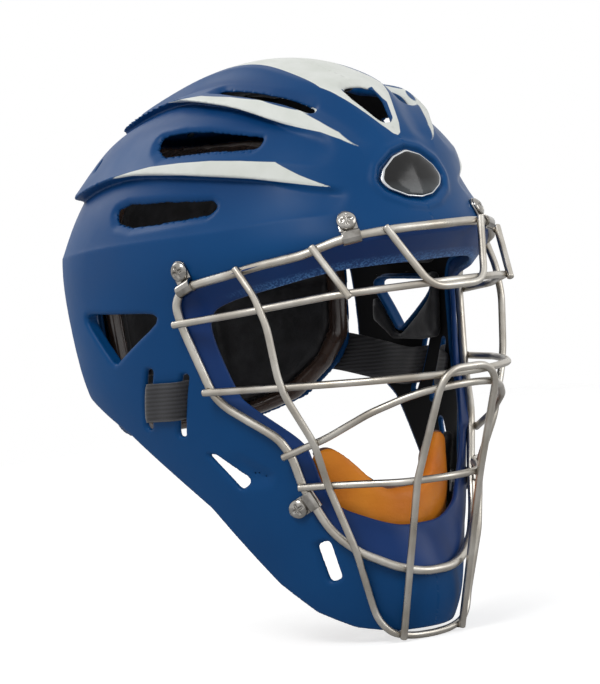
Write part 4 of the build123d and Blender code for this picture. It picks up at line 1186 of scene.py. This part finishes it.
# Back plate. A smaller moulded shell tucked under the front shell's rear edge, satin blue like it.
PLATE_SIDE, PLATE_FRONT, PLATE_REAR, PLATE_TOP = 15.5, 14.0, 8.0, 14.0
PLATE_WALL = 3.0
PLATE_GRID = 1.6
PLATE_OUTLINE = [(46, 175), (175, 175), (175, -47), (96, -47), (68, -34), (51, -16),
                 (46, -6)]
PLATE_VENT = [(-26, 42), (26, 42), (26, 54), (-26, 54)]
PLATE_BOX = ((-96, 40, -54), (96, 126, 142))
plate_distance = egg(PLATE_SIDE, PLATE_FRONT, PLATE_REAR, PLATE_TOP)
plate_edge, plate_vent = template(PLATE_OUTLINE, 8.0), template(PLATE_VENT, 4.0)


def off_vent(x, y, z):
    """How far outside the plate's vent, negative in it."""
    return plate_vent(x, z) + np.where(y > 20, 0.0, FAR_OFF)


def plate_field(x, y, z):
    """The wall of the back plate."""
    out = plate_distance(x, y, z)
    wall = soft_max(soft_max(out, -out - PLATE_WALL, 0.8), plate_edge(y, z), 1.2)
    return soft_max(wall, -off_vent(x, y, z), 1.0)


plate_points, plate_quads = moulded(plate_field, *PLATE_BOX, PLATE_GRID)
plate_obj = new_object("back_plate_shell", plate_points, plate_quads.tolist())
# The plate gets no stripe, no black flocking and no painted groove shade.
for name, value in (("stripe", -9.0), ("lining", -9.0), ("groove_shade", 0.0)):
    mark(plate_obj, name, np.full(len(plate_points), value))
fit(plate_obj, shell_paint, "shell_blue", "back_plate", "back_plate")

# Lining of the back plate. Black foam cloth stuck in the bowl of the plate, its edge rolled over a
# cord under dark brown glossy leather.
LINER_THICK, RIM_THICK, RIM_BAND = 10.0, 12.0, 9.0
LINER_OUTLINE = [(52, 104), (175, 104), (175, -38), (96, -38), (72, -27), (56, -10),
                 (50, 4)]
RIM_OUTLINE = [(52, 112), (175, 112), (175, -45), (99, -45), (76, -35), (60, -18),
               (50, -2)]
LINER_BOX = ((-94, 40, -48), (94, 124, 112))
RIM_BOX = ((-94, 32, -54), (94, 130, 122))
LINER_DEPTH = PLATE_WALL + 0.3
UPRIGHT_AT, UPRIGHT_DEEP = 30.0, 2.5
CROSS_AT, CROSS_SUNK = 30.0, 2.0
QUILT_WIDE = 2.6
liner_edge = template(LINER_OUTLINE, 8.0)
rim_edge = template([(y - RIM_BAND, z) for y, z in RIM_OUTLINE], 8.0)


def liner_field(x, y, z):
    """The black lining, quilted in panels by two upright channels and one across."""
    deep = -plate_distance(x, y, z)
    upright = UPRIGHT_DEEP * np.exp(-((np.abs(x) - UPRIGHT_AT) / QUILT_WIDE) ** 2)
    cross = CROSS_SUNK * np.exp(-((z - CROSS_AT) / QUILT_WIDE) ** 2)
    body = soft_max(LINER_DEPTH - deep, deep - LINER_DEPTH - (LINER_THICK - upright - cross), 2.0)
    return soft_max(soft_max(body, liner_edge(y, z) + 0.3, 3.0), -off_vent(x, y, z), 2.0)


def rim_field(x, y, z):
    """The rolled rim."""
    deep = -plate_distance(x, y, z)
    away = np.maximum(rim_edge(y, z), 0.3 - liner_edge(y, z))
    return soft_max(soft_max(LINER_DEPTH - deep, deep - LINER_DEPTH - RIM_THICK, 7.0), away, 6.5)


soft_piece("back_pad", *moulded(liner_field, *LINER_BOX), cloth_black, "black_pad", "back_plate", 0.6)
brown = finish("rim_leather", (62, 46, 40), 0.26, Coat_Weight=0.6, Coat_Roughness=0.14)
dyed(brown, 40.0, 0.35, 0.7, (54, 40, 35), (84, 64, 54), 4.0)
worn(brown, 60.0, 0.18, 0.34)
grain(brown, 110.0, 0.8, 0.5)
soft_piece("back_pad_rim", *moulded(rim_field, *RIM_BOX), brown, "brown_rim", "back_plate", 0.8)

# Tab and side straps. Black woven elastic, riveted to the back plate; the tab is riveted under the
# crown, the straps run out through one slot, over the land between and back in through the other.
STRAP_RUN = [
    ("inside", -40, -26), ("inside", -28.2, -21.5), ("outside", -24.8, -21.5), ("outside", -14, -21.5),
    ("outside", -5.3, -21.5), ("inside", -2, -21.5), ("inside", 12, -21.5), ("inside", 34, -17.5),
    ("plate", 54, -11), ("plate", 70, -9),
]
STRAP_HALF = 10.0
STRAP_SHEET = 1.4
STRAP_GAP = 2.0
STRAP_RISE = 0.6
STRAP_SLANT = -0.38
STRAP_ROWS = 9
STRAP_STEPS = 6
BEND_FROM, BEND_TO = 7, 8
TAB_HALF = 10.0
TAB_SHEET = 2.0
TAB_GAP = 0.3
TAB_ROWS = 9
TAB_STEPS = 5
TAB_PLACES = (22.0, 31.0, 40.0, 54.0, 61.0, 69.0)
TAB_PARTING = 50.0
TAB_BEND = ((0, 0.044, 0.14), (0, 0.056, 0.136))


def band_mesh(rows, thick):
    """A woven band with rounded edges from rows of points across it."""
    rows = np.asarray(rows, float)
    lengthwise, sideways = np.gradient(rows, axis=0), np.gradient(rows, axis=1)
    normal = np.cross(lengthwise, sideways)
    normal /= np.linalg.norm(normal, axis=2)[..., None]
    count = rows.shape[1]
    profile = np.sqrt(np.clip(1 - np.abs(np.linspace(-1, 1, count)) ** 8, 0.1, 1))[None, :, None] * thick / 2
    top, bottom = rows + normal * profile, rows - normal * profile
    return capped(np.concatenate([top, bottom[:, ::-1]], axis=1))


webbing = finish("strap_elastic", (30, 30, 33), 0.75, Sheen_Weight=0.3, Sheen_Roughness=0.5)
along_piece = node(webbing, "ShaderNodeTexCoord").outputs["Object"]
ribs = node(webbing, "ShaderNodeTexWave", [("Vector", along_piece), ("Scale", 150.0), ("Distortion", 0.6)],
            wave_type="BANDS", bands_direction="Z").outputs["Fac"]
feed(webbing, mixed(webbing, ribs, (22, 22, 25), (48, 48, 53)), "Base Color")
relief(webbing, ribs, 0.3, 0.8)
grain(webbing, 1200.0, 0.15, 0.6)


def woven(name, rows, thick, start, end):
    """A woven band made in place of its node."""
    obj = new_object(name + "_woven", *band_mesh(rows, thick))
    obj.data.materials.append(webbing)
    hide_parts(name)
    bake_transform(obj)
    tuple(start)
    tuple(end)


surfaces = {"inside": (form_distance, -WALL - STRAP_GAP), "outside": (form_distance, STRAP_GAP),
            "plate": (plate_distance, STRAP_RISE + STRAP_GAP)}
columns = []
for share in np.linspace(-1, 1, STRAP_ROWS):
    up = STRAP_HALF * share
    column = []
    for surface, y, z in STRAP_RUN:
        distance, lift = surfaces[surface]
        column.append(dropped(distance, (-150.0, y + STRAP_SLANT * up, z + up), 0, 1, lift))
    columns.append(flowing(column, STRAP_STEPS))
near_rows = np.array(columns).transpose(1, 0, 2)
bend = near_rows[[STRAP_STEPS * BEND_FROM, STRAP_STEPS * BEND_TO], STRAP_ROWS // 2]
for word, flip in (("right", 1), ("left", -1)):
    ends = [tuple(end * (flip, 1, 1) * MM) for end in bend]
    woven("side_strap_" + word, near_rows * (flip, 1, 1), STRAP_SHEET, *ends)

under_crown, over_plate = -WALL - TAB_GAP - TAB_SHEET / 2, TAB_GAP + TAB_SHEET / 2
tab_rows = []
shell_side, plate_side = (form_distance, TAB_HALF, under_crown), (plate_distance, 0.0, over_plate)
for y in TAB_PLACES:
    distance, x, lift = shell_side if y < TAB_PARTING else plate_side
    height = dropped(distance, (x, y, 200.0), 2, -1, lift)[2]
    tab_rows.append([(x, y, height) for x in np.linspace(-TAB_HALF, TAB_HALF, TAB_ROWS)])
tab_rows = np.array([flowing(column, TAB_STEPS) for column in zip(*tab_rows)]).transpose(1, 0, 2)
woven("top_tab", tab_rows, TAB_SHEET, *TAB_BEND)

# Studio. A pale floor under the helmet that keeps its shadow, soft lamps to both sides and above, and
# the camera of the photograph.
FLOOR_HALF = 1.5
FLOOR_GLOW = 0.62
WORLD_LIGHT = 0.42
floor_height = cad_box[0][2]
floor_mesh = bpy.data.meshes.new("floor")
corners = [(x * FLOOR_HALF, y * FLOOR_HALF, floor_height) for x, y in ((-1, -1), (1, -1), (1, 1), (-1, 1))]
floor_mesh.from_pydata(corners, [], [(0, 1, 2, 3)])
floor = bpy.data.objects.new("floor", floor_mesh)
bpy.context.scene.collection.objects.link(floor)
floor_paint = finish("floor_paper", (205, 205, 205), 0.9)
dyed(floor_paint, 30.0, 0.3, 0.7, (203, 203, 203), (208, 208, 208))
glow, dark = (node(floor_paint, "ShaderNodeEmission", [("Strength", light)]).outputs[0]
              for light in (FLOOR_GLOW, 0.0))
seen = node(floor_paint, "ShaderNodeLightPath").outputs["Is Camera Ray"]
lit = node(floor_paint, "ShaderNodeMixShader", [(0, seen), (1, dark), (2, glow)]).outputs[0]
paper = floor_paint.node_tree.nodes["Principled BSDF"].outputs[0]
both = node(floor_paint, "ShaderNodeAddShader", [(0, paper), (1, lit)]).outputs[0]
floor_paint.node_tree.links.new(both, floor_paint.node_tree.nodes["Material Output"].inputs["Surface"])
floor.data.materials.append(floor_paint)

world = bpy.data.worlds.new("studio")
bpy.context.scene.world = world
world.use_nodes = True
rays = node(world, "ShaderNodeLightPath").outputs
plain, white = world.node_tree.nodes["Background"], node(world, "ShaderNodeBackground")
for sky, light in ((plain, WORLD_LIGHT), (white, 1.0)):
    sky.inputs["Color"].default_value = (1, 1, 1, 1)
    sky.inputs["Strength"].default_value = light
straight = joined(world, "MAXIMUM", rays["Is Camera Ray"], rays["Is Transmission Ray"])
shown = joined(world, "MAXIMUM", straight, rays["Is Glossy Ray"])
skies = [(0, shown), (1, plain.outputs[0]), (2, white.outputs[0])]
chosen = node(world, "ShaderNodeMixShader", skies).outputs[0]
world.node_tree.links.new(chosen, world.node_tree.nodes["World Output"].inputs["Surface"])


def lamp(name, place, size, power):
    """A soft square lamp that looks at the helmet."""
    light = bpy.data.lights.new(name, "AREA")
    light.size, light.energy = size, power
    holder = bpy.data.objects.new(name, light)
    aim = (-Vector(place)).to_track_quat("-Z", "Y").to_matrix().to_4x4()
    holder.matrix_world = Matrix.Translation(place) @ aim
    bpy.context.scene.collection.objects.link(holder)


lamp("key_lamp", (-1.2, -0.6, 1.3), 0.6, 13.0)
lamp("fill_lamp", (0.9, -1.5, 0.7), 0.9, 7.0)
lamp("back_lamp", (-0.4, 1.3, 1.1), 0.8, 7.0)

AZIMUTH, ELEVATION, ROLL = math.radians(-37.4), math.radians(2.0), math.radians(-6.1)
FOCUS_PIXELS, DISTANCE = 3200.0, 1.702
PHOTO_HEIGHT, SENSOR = 684, 36
camera_data = bpy.data.cameras.new("camera")
camera = bpy.data.objects.new("camera", camera_data)
bpy.context.scene.collection.objects.link(camera)
level_back = Vector((math.sin(AZIMUTH), -math.cos(AZIMUTH), 0))
back = level_back * math.cos(ELEVATION) + Vector((0, 0, math.sin(ELEVATION)))
right = Vector((math.cos(AZIMUTH), math.sin(AZIMUTH), 0))
up = back.cross(right)
side = right * math.cos(ROLL) + up * math.sin(ROLL)
above = up * math.cos(ROLL) - right * math.sin(ROLL)
camera.matrix_world = Matrix.Translation(back * DISTANCE + Vector((0, -0.015, 0))) @ Matrix(
    (side, above, back)).transposed().to_4x4()
camera_data.sensor_fit = "VERTICAL"
camera_data.sensor_height = SENSOR
camera_data.lens = SENSOR * FOCUS_PIXELS / PHOTO_HEIGHT
bpy.context.scene.camera = camera
bpy.context.scene.view_settings.view_transform = "Standard"
